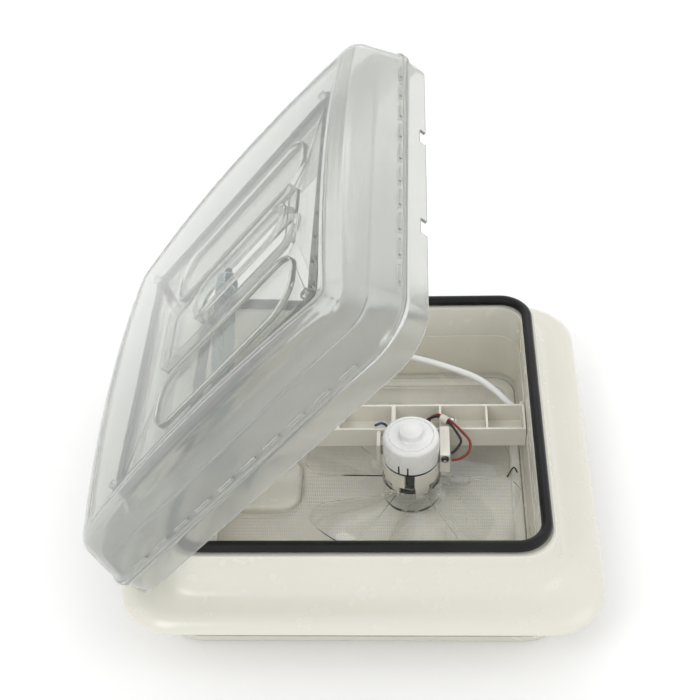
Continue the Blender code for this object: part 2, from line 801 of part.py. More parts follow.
def outer_dome(parent):
    shoulder, window = LID_HALF - SHOULDER_INSET, LID_HALF - WINDOW_INSET
    lip, foot, top = LID_HALF + 0.002, JOINT_W + GAP, LID_HEIGHT
    path = [
        (lip, foot),
        (lip, foot + 0.0026),
        (LID_HALF - 0.0002, foot + 0.0044),
        (shoulder + 0.0098, top - 0.0202),
        (shoulder + 0.0054, top - 0.0072),
        (shoulder + 0.0034, top - 0.0030),
        (shoulder, top),
        (shoulder - 0.0054, top + 0.0014),
        (window + 0.0016, top + 0.0021),
        (window, top + 0.0008),
        (window * 0.85, top + 0.0011),
        (window * 0.61, top + 0.0012),
        (window * 0.34, top + 0.0012),
        (window * 0.11, top + 0.0012),
    ]
    inner = offset_path(path, -DOME_WALL)
    rings = [crowned(half, w) for half, w in reversed(path)]
    rings += [crowned(half, w) for half, w in inner]
    return solid("outer_dome", rings, "clear_plastic", parent, location=(-HINGE_X, 0, -HINGE_Z))


def seat_w():
    """The pan's top over the seal: its underside just meets the seal when the lid is shut."""
    return SEAL_Z + SEAL_DIAMETER / 2 + GAP - LID_BASE_Z + PAN_WALL


def inner_pan(parent):
    half, seat, plateau = LID_HALF, seat_w(), PLATEAU_HALF
    rise = [
        (half - 0.0040, JOINT_W + 0.0022),
        (half - 0.0092, seat - 0.0037),
        (half - 0.0116, seat),
        (plateau + 0.0045, seat),
        (plateau + 0.0020, seat + 0.0033),
        (plateau, PLATEAU_W - 0.0017),
        (plateau - 0.0020, PLATEAU_W),
    ]
    flange = [
        (half, 0),
        (half, JOINT_W - 0.0029),
        (half + 0.002, JOINT_W - 0.0024),
        (half + 0.002, JOINT_W),
        (half - 0.0018, JOINT_W),
    ]
    under = offset_path([(half, 0), (half, JOINT_W - 0.0017), *rise], -PAN_WALL)
    rings = [lid_ring(*point) for point in flange + rise]
    rings += [track_hole(PLATEAU_W), track_hole(PLATEAU_W - PAN_WALL)]
    rings += [lid_ring(*point) for point in reversed(under)]
    made = solid("inner_pan", rings, "clear_plastic", parent, closed=True, location=(-HINGE_X, 0, -HINGE_Z))
    for side in (-1, 1):
        reach = LUG_OFFSET + LUG_WIDTH / 2 + 0.0028
        low = (HINGE_X - 0.008, side * HINGE_Y - reach, LID_BASE_Z - 0.002)
        high = (HINGE_X + 0.010, side * HINGE_Y + reach, LID_BASE_Z + 0.008)
        notch = box(f"notch_cutter_{side}", low, high, None, parent)
        notch.location = (-HINGE_X, 0, -HINGE_Z)
        cut(made, notch)
        knuckle = eye(f"knuckle_{side}", side * HINGE_Y, 0.014, 0.0088, True, parent)
        knuckle.location = (0, side * HINGE_Y, 0)
        join(made, knuckle)
    for side in (-1, 1):
        join(made, stiffening_loop(side, parent))
    return made


def lid_ring(half, w):
    outline = rounded_rect(half, half, lid_corner(half), side_steps=LID_SIDE_STEPS)
    return at_height(outline, LID_BASE_Z + w)


def track_hole(w):
    outline = rounded_rect(
        TRACK_HALF + GAP, TRACK_WIDTH / 2 + GAP, 0.008 + GAP, (TRACK_X, 0), LID_SIDE_STEPS
    )
    return at_height(outline, LID_BASE_Z + w)


def stiffening_loop(side, parent):
    """A rounded rib that stands on the pan beside the track."""
    near, far = TRACK_WIDTH / 2 + 0.005, TRACK_WIDTH / 2 + 0.065
    middle = (TRACK_X + 0.002, side * (near + far) / 2)
    rings = []
    for inset, w in (
        (0, PLATEAU_W - 0.001),
        (0.0005, PLATEAU_W + 0.004),
        (0.0023, PLATEAU_W + 0.004),
        (0.0028, PLATEAU_W - 0.001),
    ):
        outline = rounded_rect(TRACK_HALF + 0.003 - inset, (far - near) / 2 - inset, 0.024 - inset, middle)
        rings.append(at_height(outline, LID_BASE_Z + w))
    return solid(f"loop_{side}", rings, None, parent, closed=True, location=(-HINGE_X, 0, -HINGE_Z))


def slide_track(parent):
    """The slotted plate that the roller runs in; it closes the pan's middle."""
    groove_low, groove_high = GROOVE_W - GROOVE_HALF, GROOVE_W + GROOVE_HALF
    slot, groove = SLOT_WIDTH / 2, SLOT_WIDTH / 2 + GROOVE_DEPTH
    wall, edge = groove + TRACK_GAUGE + 0.0005, TRACK_WIDTH / 2
    plate_low, plate_high = PLATEAU_W - 0.0004, PLATEAU_W + TRACK_GAUGE - 0.0004
    profile = (
        (slot, groove_low - TRACK_GAUGE),
        (wall, groove_low - TRACK_GAUGE),
        (wall, plate_low),
        (edge, plate_low),
        (edge, plate_high + 0.006),
        (edge - TRACK_GAUGE, plate_high + 0.006),
        (edge - TRACK_GAUGE, plate_high),
        (wall, plate_high),
        (wall, groove_high + TRACK_GAUGE),
        (slot, groove_high + TRACK_GAUGE),
        (slot, groove_high),
        (groove, groove_high),
        (groove, groove_low),
        (slot, groove_low),
    )
    rings = []
    for half, w in profile:
        if half > wall:
            outline = rounded_rect(TRACK_HALF - edge + half, half, 0.008 - edge + half, (TRACK_X, 0))
        else:
            outline = rounded_rect(SLOT_HALF - slot + half, half, half, (SLOT_X, 0))
        rings.append(at_height(outline, LID_BASE_Z + w))
    solid("slide_track", rings, "clear_plastic", parent, closed=True, location=(-HINGE_X, 0, -HINGE_Z))


def lid_fittings(parent):
    post = PLATEAU_HALF - 0.008
    for name, sx, sy in (
        ("hinge_front", -1, -1),
        ("hinge_back", -1, 1),
        ("free_front", 1, -1),
        ("free_back", 1, 1),
    ):
        low = LID_BASE_Z + PLATEAU_W + GAP
        top = crowned(post + 0.0045, LID_HEIGHT)[0][2] - 0.0045
        outline = rounded_rect(0.0042, 0.0042, 0.0012, (sx * post, sy * post))
        narrow = rounded_rect(0.0030, 0.0030, 0.0010, (sx * post, sy * post))
        rings = [
            at_height(outline, low),
            at_height(outline, low + 0.003),
            at_height(narrow, low + 0.0035),
            at_height(narrow, top),
        ]
        solid(f"lid_post_{name}", rings, "clear_plastic", parent, location=(-HINGE_X, 0, -HINGE_Z))


def hinge_pins(parent):
    reach = LUG_OFFSET + LUG_WIDTH / 2
    for name, side in (("front", -1), ("back", 1)):
        profile = (
            (PIN_RADIUS, -side * (reach + 0.0008)),
            (PIN_RADIUS, side * (reach + GAP)),
            (PIN_RADIUS + 0.0011, side * (reach + GAP)),
            (PIN_RADIUS + 0.0011, side * (reach + 0.0016)),
        )
        turned(
            f"hinge_pin_{name}", profile, "screw_steel", parent, (HINGE_X, side * HINGE_Y, HINGE_Z), 16, "Y"
        )


# ---- Beam, motor and fan -----------------------------------------------------------------------
RIBS = (
    (-0.102, 0.002),
    (-0.063, 0.002),
    (-0.0235, 0.0035),
    (0.0235, 0.0035),
    (0.063, 0.002),
    (0.102, 0.002),
)
BOSS_X = 0.073
BOSS_Y = 0.0245
BOSS_TOP_Z = BEAM_TOP_Z - 0.004


def cross_beam(parent):
    half = LINER_IN - GAP
    floor = BEAM_TOP_Z - BEAM_DEPTH
    made = box(
        "cross_beam", (-half, BEAM_FRONT, floor), (half, BEAM_BACK, BEAM_TOP_Z), "beam_plastic", parent
    )
    edges = [-half + BEAM_WALL]
    for x, thickness in RIBS:
        edges += [x - thickness / 2, x + thickness / 2]
    edges.append(half - BEAM_WALL)
    for number in range(0, len(edges), 2):
        low = (edges[number], BEAM_FRONT + BEAM_WALL, floor + BEAM_WALL)
        high = (edges[number + 1], BEAM_BACK - BEAM_WALL, BEAM_TOP_Z + 0.01)
        cut(made, box(f"beam_cutter_{number // 2}", low, high, None, parent))
    for name, x in (("left", -BOSS_X), ("right", BOSS_X)):
        boss = ((0.004, floor + BEAM_WALL / 2), (0.0036, BOSS_TOP_Z))
        join(made, turned(f"beam_boss_{name}", boss, None, parent, (x, BOSS_Y, 0), 20))
        head = BOSS_TOP_Z + GAP
        profile = ((0.0028, head), (0.0028, head + 0.0008), (0.0021, head + 0.0017))
        turned(f"beam_screw_{name}", profile, "screw_steel", parent, (x, BOSS_Y, 0), 20)


def arc_wall(name, inner, outer, start, end, low, high, parent, finish=None):
    """A wall along part of a circle round the fan's axis; angles in degrees."""
    steps = max(4, round((end - start) / 9))
    angles = [math.radians(start + (end - start) * step / steps) for step in range(steps + 1)]
    outline = [Vector((outer * math.cos(a), outer * math.sin(a))) for a in angles]
    outline += [Vector((inner * math.cos(a), inner * math.sin(a))) for a in reversed(angles)]
    return prism(name, outline, low, high, finish, parent, location=(FAN_X, FAN_Y, 0))


CLAMP_IN = CAN_RADIUS + 0.0008
CLAMP_OUT = CAP_RADIUS + 0.0002
CAP_LOW_Z = SEAL_Z - 0.0333
CLAMP_TOP_Z = CAP_LOW_Z - 0.0030
CLAMP_LOW_Z = SEAL_Z - 0.0505
BLOCK_X = (FAN_X + CAP_RADIUS + GAP, FAN_X + CAP_RADIUS + 0.0085)
BLOCK_FRONT = FAN_Y - 0.008
BLOCK_TOP_Z = SEAL_Z - 0.0260


def motor(parent):
    axis = (FAN_X, FAN_Y, 0)
    low, top = SEAL_Z - 0.064, SEAL_Z - 0.0142
    can = (
        (0.0045, low - 0.002),
        (0.0050, low - 0.0015),
        (0.0050, low),
        (CAN_RADIUS - 0.001, low),
        (CAN_RADIUS, low + 0.001),
        (CAN_RADIUS, top - 0.001),
        (CAN_RADIUS - 0.001, top),
    )
    turned("motor_can", can, "motor_steel", parent, axis, 36)
    gasket = CLAMP_TOP_Z + GAP
    ring = (
        (CAP_RADIUS - 0.0007, gasket),
        (CAP_RADIUS - 0.0007, CAP_LOW_Z - GAP),
        (CLAMP_IN, CAP_LOW_Z - GAP),
        (CLAMP_IN, gasket),
    )
    turned("motor_gasket", ring, "black_plastic", parent, axis, 36, closed=True)
    cap_top, inside = SEAL_Z - 0.010, CAP_RADIUS - 0.0022
    cap = (
        (0.002, top + 0.0018),
        (inside, top + 0.0018),
        (inside, CAP_LOW_Z),
        (CAP_RADIUS, CAP_LOW_Z),
        (CAP_RADIUS, cap_top - 0.0032),
        (CAP_RADIUS - 0.0009, cap_top - 0.0010),
        (CAP_RADIUS - 0.0028, cap_top),
        (CAP_RADIUS - 0.0040, cap_top),
        (CAP_RADIUS - 0.0043, cap_top - 0.0006),
        (CAP_RADIUS - 0.0049, cap_top - 0.0006),
        (CAP_RADIUS - 0.0052, cap_top),
        (0.0104, cap_top),
        (0.0098, cap_top + 0.0006),
        (0.0095, cap_top + 0.0050),
        (0.0085, cap_top + 0.0060),
    )
    made = turned("motor_cap", cap, "cap_plastic", parent, axis, 40)
    for number, x in enumerate((FAN_X - 0.0108, FAN_X - 0.0035)):
        slot = box(
            f"cap_cutter_{number}",
            (x, FAN_Y - 0.03, CAP_LOW_Z - 0.001),
            (x + 0.0012, FAN_Y - 0.012, CAP_LOW_Z + 0.0080),
            None,
            parent,
        )
        cut(made, slot)


def motor_clamp(parent):
    made = arc_wall(
        "motor_clamp", CLAMP_IN, CLAMP_OUT, -83, 256, CLAMP_LOW_Z, CLAMP_TOP_Z, parent, "beam_plastic"
    )
    leg_low = SEAL_Z - 0.064
    join(
        made,
        arc_wall(
            "leg_narrow", CLAMP_IN, CLAMP_IN + 0.0026, -138, -118, leg_low, CLAMP_LOW_Z + 0.004, parent
        ),
    )
    join(
        made,
        arc_wall("leg_wide", CLAMP_IN, CLAMP_IN + 0.0026, -81, -48, leg_low, CLAMP_LOW_Z + 0.004, parent),
    )
    back, leg_x = BEAM_FRONT - GAP, FAN_X - CAP_RADIUS - 0.0056
    lumps = (
        ((BLOCK_X[0], BLOCK_FRONT, CLAMP_TOP_Z - 0.010), (BLOCK_X[1], back, BLOCK_TOP_Z)),
        (
            (FAN_X + CLAMP_IN + 0.0006, FAN_Y - 0.006, CLAMP_TOP_Z - 0.0095),
            (BLOCK_X[0] + 0.001, FAN_Y + 0.006, CLAMP_TOP_Z - 0.0005),
        ),
        ((leg_x, FAN_Y + 0.008, CLAMP_LOW_Z + 0.0002), (leg_x + 0.0032, back, SEAL_Z - 0.031)),
        ((leg_x + 0.0008, FAN_Y + 0.015, CLAMP_TOP_Z - 0.013), (FAN_X - 0.0124, back, CLAMP_TOP_Z - 0.001)),
    )
    for number, (low, high) in enumerate(lumps):
        join(made, box(f"clamp_lump_{number}", low, high, None, parent))
    middle = (sum(BLOCK_X) / 2, 0, SEAL_Z - 0.030)
    front = BLOCK_FRONT - GAP
    grommet = ((0.0032, front), (0.0032, front - 0.0012), (0.0024, front - 0.0022))
    turned("clamp_grommet", grommet, "black_plastic", parent, middle, 20, "Y")
    head = front - 0.0022 - GAP
    turned(
        "clamp_screw",
        ((0.0016, head), (0.0016, head - 0.0006), (0.0011, head - 0.001)),
        "screw_steel",
        parent,
        middle,
        14,
        "Y",
    )


def fan(parent):
    """The clear rotor with its cup round the motor, and the motor's shaft."""
    bottom = FAN_TOP_Z - FAN_DEPTH
    inside = CUP_RADIUS - 0.0019
    shaft = 0.0011
    cup = (
        (shaft + GAP, bottom + 0.0022),
        (shaft + GAP, bottom + 0.0095),
        (0.0040, bottom + 0.0095),
        (0.0044, bottom + 0.0020),
        (inside - 0.0010, bottom + 0.0020),
        (inside, bottom + 0.0030),
        (inside, FAN_TOP_Z),
        (CUP_RADIUS, FAN_TOP_Z),
        (CUP_RADIUS, bottom + 0.0018),
        (CUP_RADIUS - 0.0015, bottom),
        (0.004, bottom),
    )
    made = turned("fan_rotor", cup, "clear_plastic", parent, steps=36)
    for number in range(BLADES):
        join(made, blade(number, parent))
    turned(
        "motor_shaft",
        ((shaft, bottom + 0.0026), (shaft, SEAL_Z - 0.066 - GAP)),
        "screw_steel",
        parent,
        steps=12,
    )


def blade(number, parent):
    start, sweep, gauge = math.radians(11 + 360 / BLADES * number), math.radians(48), 0.0016
    high, drop = FAN_TOP_Z - 0.0018, FAN_DEPTH - 0.0055
    top, bottom = [], []
    across, along = 6, 6
    for i in range(along + 1):
        radius = CUP_RADIUS - 0.0010 + (FAN_RADIUS - CUP_RADIUS + 0.0010) * i / along
        trim = math.radians(7) * max(0.0, i / along - 0.7) / 0.3
        for j in range(across + 1):
            share = j / across
            angle = start + trim + (sweep - 2 * trim) * share
            z = high - drop * (1 - share) + 0.0022 * math.sin(math.pi * share)
            top.append((radius * math.cos(angle), radius * math.sin(angle), z))
            bottom.append((radius * math.cos(angle), radius * math.sin(angle), z - gauge))
    size = across + 1
    under = len(top)
    faces = []
    for i in range(along):
        for j in range(across):
            a, b, c, d = i * size + j, i * size + j + 1, (i + 1) * size + j + 1, (i + 1) * size + j
            faces += [(a, b, c, d), (under + d, under + c, under + b, under + a)]
    edge = [j for j in range(across)] + [i * size + across for i in range(along)]
    edge += [along * size + j for j in range(across, 0, -1)] + [i * size for i in range(along, 0, -1)]
    for a, b in zip(edge, edge[1:] + edge[:1]):
        faces.append((a, b, under + b, under + a))
    return place(f"blade_{number}", mesh_of(f"blade_{number}", top + bottom, faces), None, parent)


# ---- Wiring and fixings ------------------------------------------------------------------------
CABLE_RADIUS = 0.0028
LEAD_RADIUS = 0.0011
SLEEVE_AT = Vector((0.0672, 0.0158, SEAL_Z - 0.0255))
SLEEVE_ALONG = Vector((0.78, -0.62, -0.02)).normalized()


def wiring(parent):
    wall = LINER_IN
    back_z, right_z, right_y = SEAL_Z - 0.046, SEAL_Z - 0.040, BEAM_BACK + 0.0058
    route = (
        (-0.028, wall - 0.0008, back_z),
        (-0.028, wall - 0.0046, back_z),
        (-0.0276, wall - 0.0088, back_z + 0.0002),
        (-0.0250, wall - 0.0150, back_z + 0.0016),
        (-0.0140, wall - 0.0225, SEAL_Z - 0.0405),
        (0.008, 0.1075, SEAL_Z - 0.034),
        (0.042, 0.0976, SEAL_Z - 0.030),
        (0.0897, 0.0753, SEAL_Z - 0.030),
        (0.110, 0.0600, SEAL_Z - 0.0335),
        (0.1205, 0.0500, SEAL_Z - 0.0378),
        (0.1258, right_y + 0.0006, right_z + 0.0003),
        (wall - 0.0048, right_y, right_z),
        (wall - 0.0008, right_y, right_z),
    )
    tube("power_cable", route, CABLE_RADIUS, "cable_white", parent, 0.007)
    near, far = wall - GAP - 0.0035, wall - GAP
    inner, outer = CABLE_RADIUS + GAP, CABLE_RADIUS + 0.0022
    collar = ((outer - 0.0008, near), (outer, near + 0.001), (outer, far), (inner, far), (inner, near))
    turned(
        "cable_gland_back", collar, "white_plastic", parent, (route[0][0], 0, back_z), 20, "Y", closed=True
    )
    turned(
        "cable_gland_right", collar, "white_plastic", parent, (0, right_y, right_z), 20, "X", closed=True
    )
    side = Vector((0.62, 0.78, 0)) * (LEAD_RADIUS + 0.0002)
    block = BLOCK_X[1] + 0.0013
    through = [SLEEVE_AT + SLEEVE_ALONG * step for step in (-0.0085, -0.004, 0.001, 0.0065)]
    black = [(0.0485, 0.0215, SEAL_Z - 0.044), (0.0510, 0.0235, SEAL_Z - 0.034)]
    black += [point - side for point in through]
    black += [
        (0.0765, 0.0010, SEAL_Z - 0.0260),
        (0.0795, -0.0065, SEAL_Z - 0.0275),
        (0.0760, -0.0125, SEAL_Z - 0.0300),
        (block, -0.0165, SEAL_Z - 0.0320),
    ]
    red = [(0.0530, 0.0275, SEAL_Z - 0.044), (0.0550, 0.0270, SEAL_Z - 0.034)]
    red += [point + side for point in through]
    red += [
        (0.0815, 0.0010, SEAL_Z - 0.0255),
        (0.0868, -0.0080, SEAL_Z - 0.0270),
        (0.0855, -0.0165, SEAL_Z - 0.0300),
        (0.0785, -0.0210, SEAL_Z - 0.0330),
        (block, -0.0215, SEAL_Z - 0.0345),
    ]
    tube("lead_black", black, LEAD_RADIUS, "lead_black", parent, 0.0028)
    tube("lead_red", red, LEAD_RADIUS, "lead_red", parent, 0.0028)
    blue = [
        (0.0190, 0.0215, SEAL_Z - 0.044),
        (0.0175, 0.0190, SEAL_Z - 0.0350),
        (0.0135, 0.0155, SEAL_Z - 0.0285),
        (0.0080, 0.0125, SEAL_Z - 0.0280),
    ]
    tube("lead_blue", blue, LEAD_RADIUS, "lead_blue", parent, 0.0025)
    bore, skin = 2 * LEAD_RADIUS + 0.0007, 2 * LEAD_RADIUS + 0.0014
    profile = ((skin, -0.0035), (skin, 0.0035), (bore, 0.0035), (bore, -0.0035))
    sleeve = turned(
        "lead_sleeve", profile, "sleeve_plastic", parent, SLEEVE_AT - SLEEVE_ALONG * 0.001, 18, closed=True
    )
    sleeve.rotation_euler = SLEEVE_ALONG.to_track_quat("Z", "Y").to_euler()


def trim_screws(parent, ring):
    middle = (TRIM_SIDE / 2 + NECK_OUT) / 2 - 0.001
    for name, x, y in (
        ("free", middle, 0),
        ("back", 0, middle),
        ("hinge", -middle, 0),
        ("front", 0, -middle),
    ):
        hole = ((0.0036, -0.001), (0.0036, 0.0018), (0.0019, 0.0018), (0.0019, 0.005))
        cut(ring, turned(f"trim_cutter_{name}", hole, None, parent, (x, y, 0), 20))
        profile = (
            (0.0024, 0.0003),
            (0.0032, 0.0008),
            (0.0032, 0.0015),
            (0.0015, 0.0016),
            (0.0015, 0.0180),
            (0.0004, 0.0210),
        )
        turned(f"trim_screw_{name}", profile, "screw_steel", parent, (x, y, 0), 14)


# ---- Assembly ----------------------------------------------------------------------------------
def main():
    for found in list(bpy.data.objects):
        bpy.data.objects.remove(found)
    opening = empty("opening_centre", None, (OPENING_X, 0, 0))
    outer_frame(opening)
    seal(opening)
    liner(opening)
    ring = trim_ring(opening)
    trim_screws(opening, ring)
    screen(opening)
    pod(opening)
    control_panel(opening)
    buttons(opening)
    crank(empty("crank_axis", opening, (WORM_X, 0, 0)))
    gear_bracket(opening)
    lift_arm(opening)
    hinge_pins(opening)
    cross_beam(opening)
    motor(opening)
    motor_clamp(opening)
    wiring(opening)
    fan(empty("fan_axis", opening, (FAN_X, FAN_Y, 0)))
    hinge = empty("lid_hinge", opening, (HINGE_X, 0, HINGE_Z))
    hinge.rotation_euler.y = -LID_OPEN
    outer_dome(hinge)
    inner_pan(hinge)
    slide_track(hinge)
    lid_fittings(hinge)


main()
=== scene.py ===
"""Looks for the roof vent cover: the frame moulding, seal, liner, screen, fan, wiring and clear lid."""

import json
import math

import bmesh
import bpy
from bpy.props import FloatProperty, FloatVectorProperty, IntProperty, PointerProperty
from bpy.types import Operator, Panel, PropertyGroup
from mathutils import Matrix, Vector


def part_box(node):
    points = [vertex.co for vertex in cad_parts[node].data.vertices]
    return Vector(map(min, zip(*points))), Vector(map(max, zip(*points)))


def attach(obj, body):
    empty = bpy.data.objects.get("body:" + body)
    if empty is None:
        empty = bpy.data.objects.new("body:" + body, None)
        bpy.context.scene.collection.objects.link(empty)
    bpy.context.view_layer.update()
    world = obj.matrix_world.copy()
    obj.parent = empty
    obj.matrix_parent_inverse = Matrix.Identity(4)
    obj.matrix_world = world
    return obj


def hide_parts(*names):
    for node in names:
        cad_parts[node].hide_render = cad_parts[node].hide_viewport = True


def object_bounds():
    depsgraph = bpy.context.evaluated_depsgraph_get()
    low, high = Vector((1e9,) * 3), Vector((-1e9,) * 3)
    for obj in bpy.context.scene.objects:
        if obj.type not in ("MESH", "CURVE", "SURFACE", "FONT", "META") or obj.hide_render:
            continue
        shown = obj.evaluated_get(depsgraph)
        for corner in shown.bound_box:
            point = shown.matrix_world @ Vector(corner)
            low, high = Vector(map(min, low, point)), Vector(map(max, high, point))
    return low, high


bl_info = {
    "name": "Roof Vent Cover",
    "version": (1, 0, 0),
    "blender": (4, 5, 0),
    "location": "View3D > Sidebar > Vent Cover",
    "description": "Builds the pieces and finishes of a caravan roof vent cover",
    "category": "Add Mesh",
}

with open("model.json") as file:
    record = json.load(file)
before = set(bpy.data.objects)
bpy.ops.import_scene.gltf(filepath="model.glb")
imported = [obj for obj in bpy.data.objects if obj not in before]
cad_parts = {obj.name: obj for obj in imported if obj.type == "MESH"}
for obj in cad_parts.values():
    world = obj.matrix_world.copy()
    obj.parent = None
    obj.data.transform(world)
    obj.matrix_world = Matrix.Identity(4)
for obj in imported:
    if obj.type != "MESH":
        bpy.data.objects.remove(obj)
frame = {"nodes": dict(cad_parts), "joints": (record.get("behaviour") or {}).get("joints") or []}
cad_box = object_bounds()

# ---- Places read from the frame ----------------------------------------------------------------
SEAL_LOW, SEAL_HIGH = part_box("dome_seal")
FLANGE_LOW, FLANGE_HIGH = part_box("outer_frame")
TRIM_LOW, TRIM_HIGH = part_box("trim_ring")
LINER_LOW, LINER_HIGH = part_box("inner_liner")
SCREEN_FRAME_LOW, SCREEN_FRAME_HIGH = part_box("screen_frame")
SCREEN_LOW, SCREEN_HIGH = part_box("insect_screen")
BEAM_LOW, BEAM_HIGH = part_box("cross_beam")
CAP_LOW, CAP_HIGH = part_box("motor_cap")
CAN_LOW, CAN_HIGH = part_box("motor_can")
ROTOR_LOW, ROTOR_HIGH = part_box("fan_rotor")
POD_LOW, POD_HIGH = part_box("control_pod")

CENTRE = (SEAL_LOW + SEAL_HIGH) / 2  # the opening's centre at the seal's height
SEAL_RADIUS = (SEAL_HIGH.z - SEAL_LOW.z) / 2
SEAL_HALF = (SEAL_HIGH.y - SEAL_LOW.y) / 2 - SEAL_RADIUS
FLANGE_HALF = (FLANGE_HIGH.y - FLANGE_LOW.y) / 2
SEAL_CORNER, POD_CORNER = 0.023, 0.018
NECK_OUT, NECK_IN = SEAL_HALF - 0.001, SEAL_HALF - 0.0028
LINER_OUT = (LINER_HIGH.y - LINER_LOW.y) / 2
LINER_IN = LINER_OUT - 0.0022
GAP = 0.0003
TINY = 1e-5  # a radius that stands for none
CORNERS = ((1, -1), (1, 1), (-1, 1), (-1, -1))

HINGE = Vector(next(joint["pos_m"] for joint in frame["joints"] if joint["name"] == "lid_hinge"))
LID_OPEN = math.radians(49.8)
LID_HALF = 0.1706
LID_CORNER = 0.030
LID_JOINT, PAN_SEAT, PAN_LEVEL = 0.0193, 0.0402, 0.0522  # heights over the lid's foot
PAN_GAUGE = 0.0022
LID_BASE_Z = HINGE.z - 0.0023
LID_CENTRE_X = HINGE.x + 0.17035
HINGE_Y, HINGE_RADIUS = 0.095, 0.0038
TRACK_X = LID_CENTRE_X + 0.0076
LID_PLACE = Matrix.Translation(HINGE) @ Matrix.Rotation(-LID_OPEN, 4, "Y") @ Matrix.Translation(-HINGE)


# ---- Settings ----------------------------------------------------------------------------------
def colour(name, description, value):
    return FloatVectorProperty(
        name=name, description=description, subtype="COLOR", size=3, min=0, max=1, default=value
    )


def length(name, description, value):
    return FloatProperty(
        name=name, description=description, subtype="DISTANCE", unit="LENGTH", min=0.0001, max=1.0,
        default=value,
    )


class VentFrameSettings(PropertyGroup):
    white: colour("White", "Colour of the frame, trim and controls", (0.70, 0.685, 0.605))
    cream: colour("Cream", "Colour of the liner inside the opening", (0.74, 0.71, 0.62))
    rubber: colour("Rubber", "Colour of the seal", (0.009, 0.0095, 0.0095))
    mesh_pitch: length("Mesh pitch", "Distance between the screen's strands", 0.0016)
    mesh_strand: length("Mesh strand", "Thickness of the screen's strands", 0.00066)
    mesh_colour: colour("Mesh", "Colour of the insect screen", (0.93, 0.90, 0.80))


class VentMotorSettings(PropertyGroup):
    cap: colour("Cap", "Colour of the motor cap", (0.80, 0.80, 0.79))
    steel: colour("Steel", "Colour of the motor case", (0.17, 0.18, 0.18))
    beam: colour("Beam", "Colour of the beam and the clamp", (0.75, 0.725, 0.65))
    blades: IntProperty(name="Blades", description="Number of fan blades", min=2, max=12, default=6)
    blade_sweep: FloatProperty(
        name="Blade sweep", description="Angle that a blade covers", subtype="ANGLE", unit="ROTATION",
        min=0.1, max=1.05, default=math.radians(48),
    )


class VentLidSettings(PropertyGroup):
    tint: colour("Tint", "Colour of the clear plastic", (0.83, 0.845, 0.82))
    frost: colour("Frost", "Colour of the frosted sides", (0.74, 0.75, 0.725))
    haze: FloatProperty(
        name="Haze", description="Roughness of the clear plastic", subtype="FACTOR", min=0, max=1,
        default=0.015,
    )
    crown: length("Crown", "Height of the dome's middle over its corners", 0.016)
    tab_spacing: length("Tab spacing", "Distance between the welded tabs", 0.027)
    tab_length: length("Tab length", "Length of a welded tab", 0.017)


class VentSettings(PropertyGroup):
    frame: PointerProperty(type=VentFrameSettings)
    motor: PointerProperty(type=VentMotorSettings)
    lid: PointerProperty(type=VentLidSettings)


def settings():
    return bpy.context.scene.vent_cover


# ---- Finishes ----------------------------------------------------------------------------------
ENDING = "_finish"


def made_once(make):
    """A maker of finishes that gives the same material again for the same slot and use."""

    def found_or_made(slot, *values, use="", **named):
        name = f"{slot}{ENDING}{use}"
        found = bpy.data.materials.get(name)
        if found:
            return found
        material = bpy.data.materials.new(name)
        material.use_nodes = True
        tree = material.node_tree
        make(tree, tree.nodes["Principled BSDF"], *values, **named)
        return material

    return found_or_made


def pattern(tree, scale, detail=3.0, stretch=(1.0, 1.0, 1.0)):
    """Noise over the piece's own coordinates; scale is in features to the metre."""
    place = tree.nodes.new("ShaderNodeTexCoord")
    mapping = tree.nodes.new("ShaderNodeMapping")
    mapping.inputs["Scale"].default_value = stretch
    grain = tree.nodes.new("ShaderNodeTexNoise")
    grain.inputs["Scale"].default_value = scale
    grain.inputs["Detail"].default_value = detail
    tree.links.new(place.outputs["Object"], mapping.inputs["Vector"])
    tree.links.new(mapping.outputs["Vector"], grain.inputs["Vector"])
    return grain.outputs["Fac"]


def spread(tree, value, low, high):
    """The value's middle range, as a number from low to high."""
    ranged = tree.nodes.new("ShaderNodeMapRange")
    ranged.inputs["From Min"].default_value = 0.3
    ranged.inputs["From Max"].default_value = 0.7
    ranged.inputs["To Min"].default_value = low
    ranged.inputs["To Max"].default_value = high
    tree.links.new(value, ranged.inputs["Value"])
    return ranged.outputs["Result"]


def two_tone(tree, value, first, second):
    ramp = tree.nodes.new("ShaderNodeValToRGB")
    ramp.color_ramp.elements[0].position = 0.32
    ramp.color_ramp.elements[1].position = 0.68
    ramp.color_ramp.elements[0].color = (*first, 1)
    ramp.color_ramp.elements[1].color = (*second, 1)
    tree.links.new(value, ramp.inputs["Fac"])
    return ramp.outputs["Color"]


def rough_skin(tree, shader, value, depth, strength=0.4):
    bump = tree.nodes.new("ShaderNodeBump")
    bump.inputs["Strength"].default_value = strength
    bump.inputs["Distance"].default_value = depth
    tree.links.new(value, bump.inputs["Height"])
    tree.links.new(bump.outputs["Normal"], shader.inputs["Normal"])


def shade(tone, share):
    return tuple(min(1.0, channel * share) for channel in tone)


@made_once
def moulded(tree, shader, tone, roughness=0.3, mottle=0.03, grain=900.0, depth=0.000008, coat=0.0):
    """Injection-moulded plastic: faint mottle, a fine skin and uneven gloss."""
    tones = two_tone(tree, pattern(tree, 22.0), shade(tone, 1 - mottle), shade(tone, 1 + mottle / 2))
    tree.links.new(tones, shader.inputs["Base Color"])
    gloss = spread(tree, pattern(tree, 60.0), roughness * 0.85, roughness * 1.2)
    tree.links.new(gloss, shader.inputs["Roughness"])
    rough_skin(tree, shader, pattern(tree, grain, 2.0), depth)
    shader.inputs["Coat Weight"].default_value = coat
    shader.inputs["Coat Roughness"].default_value = 0.12


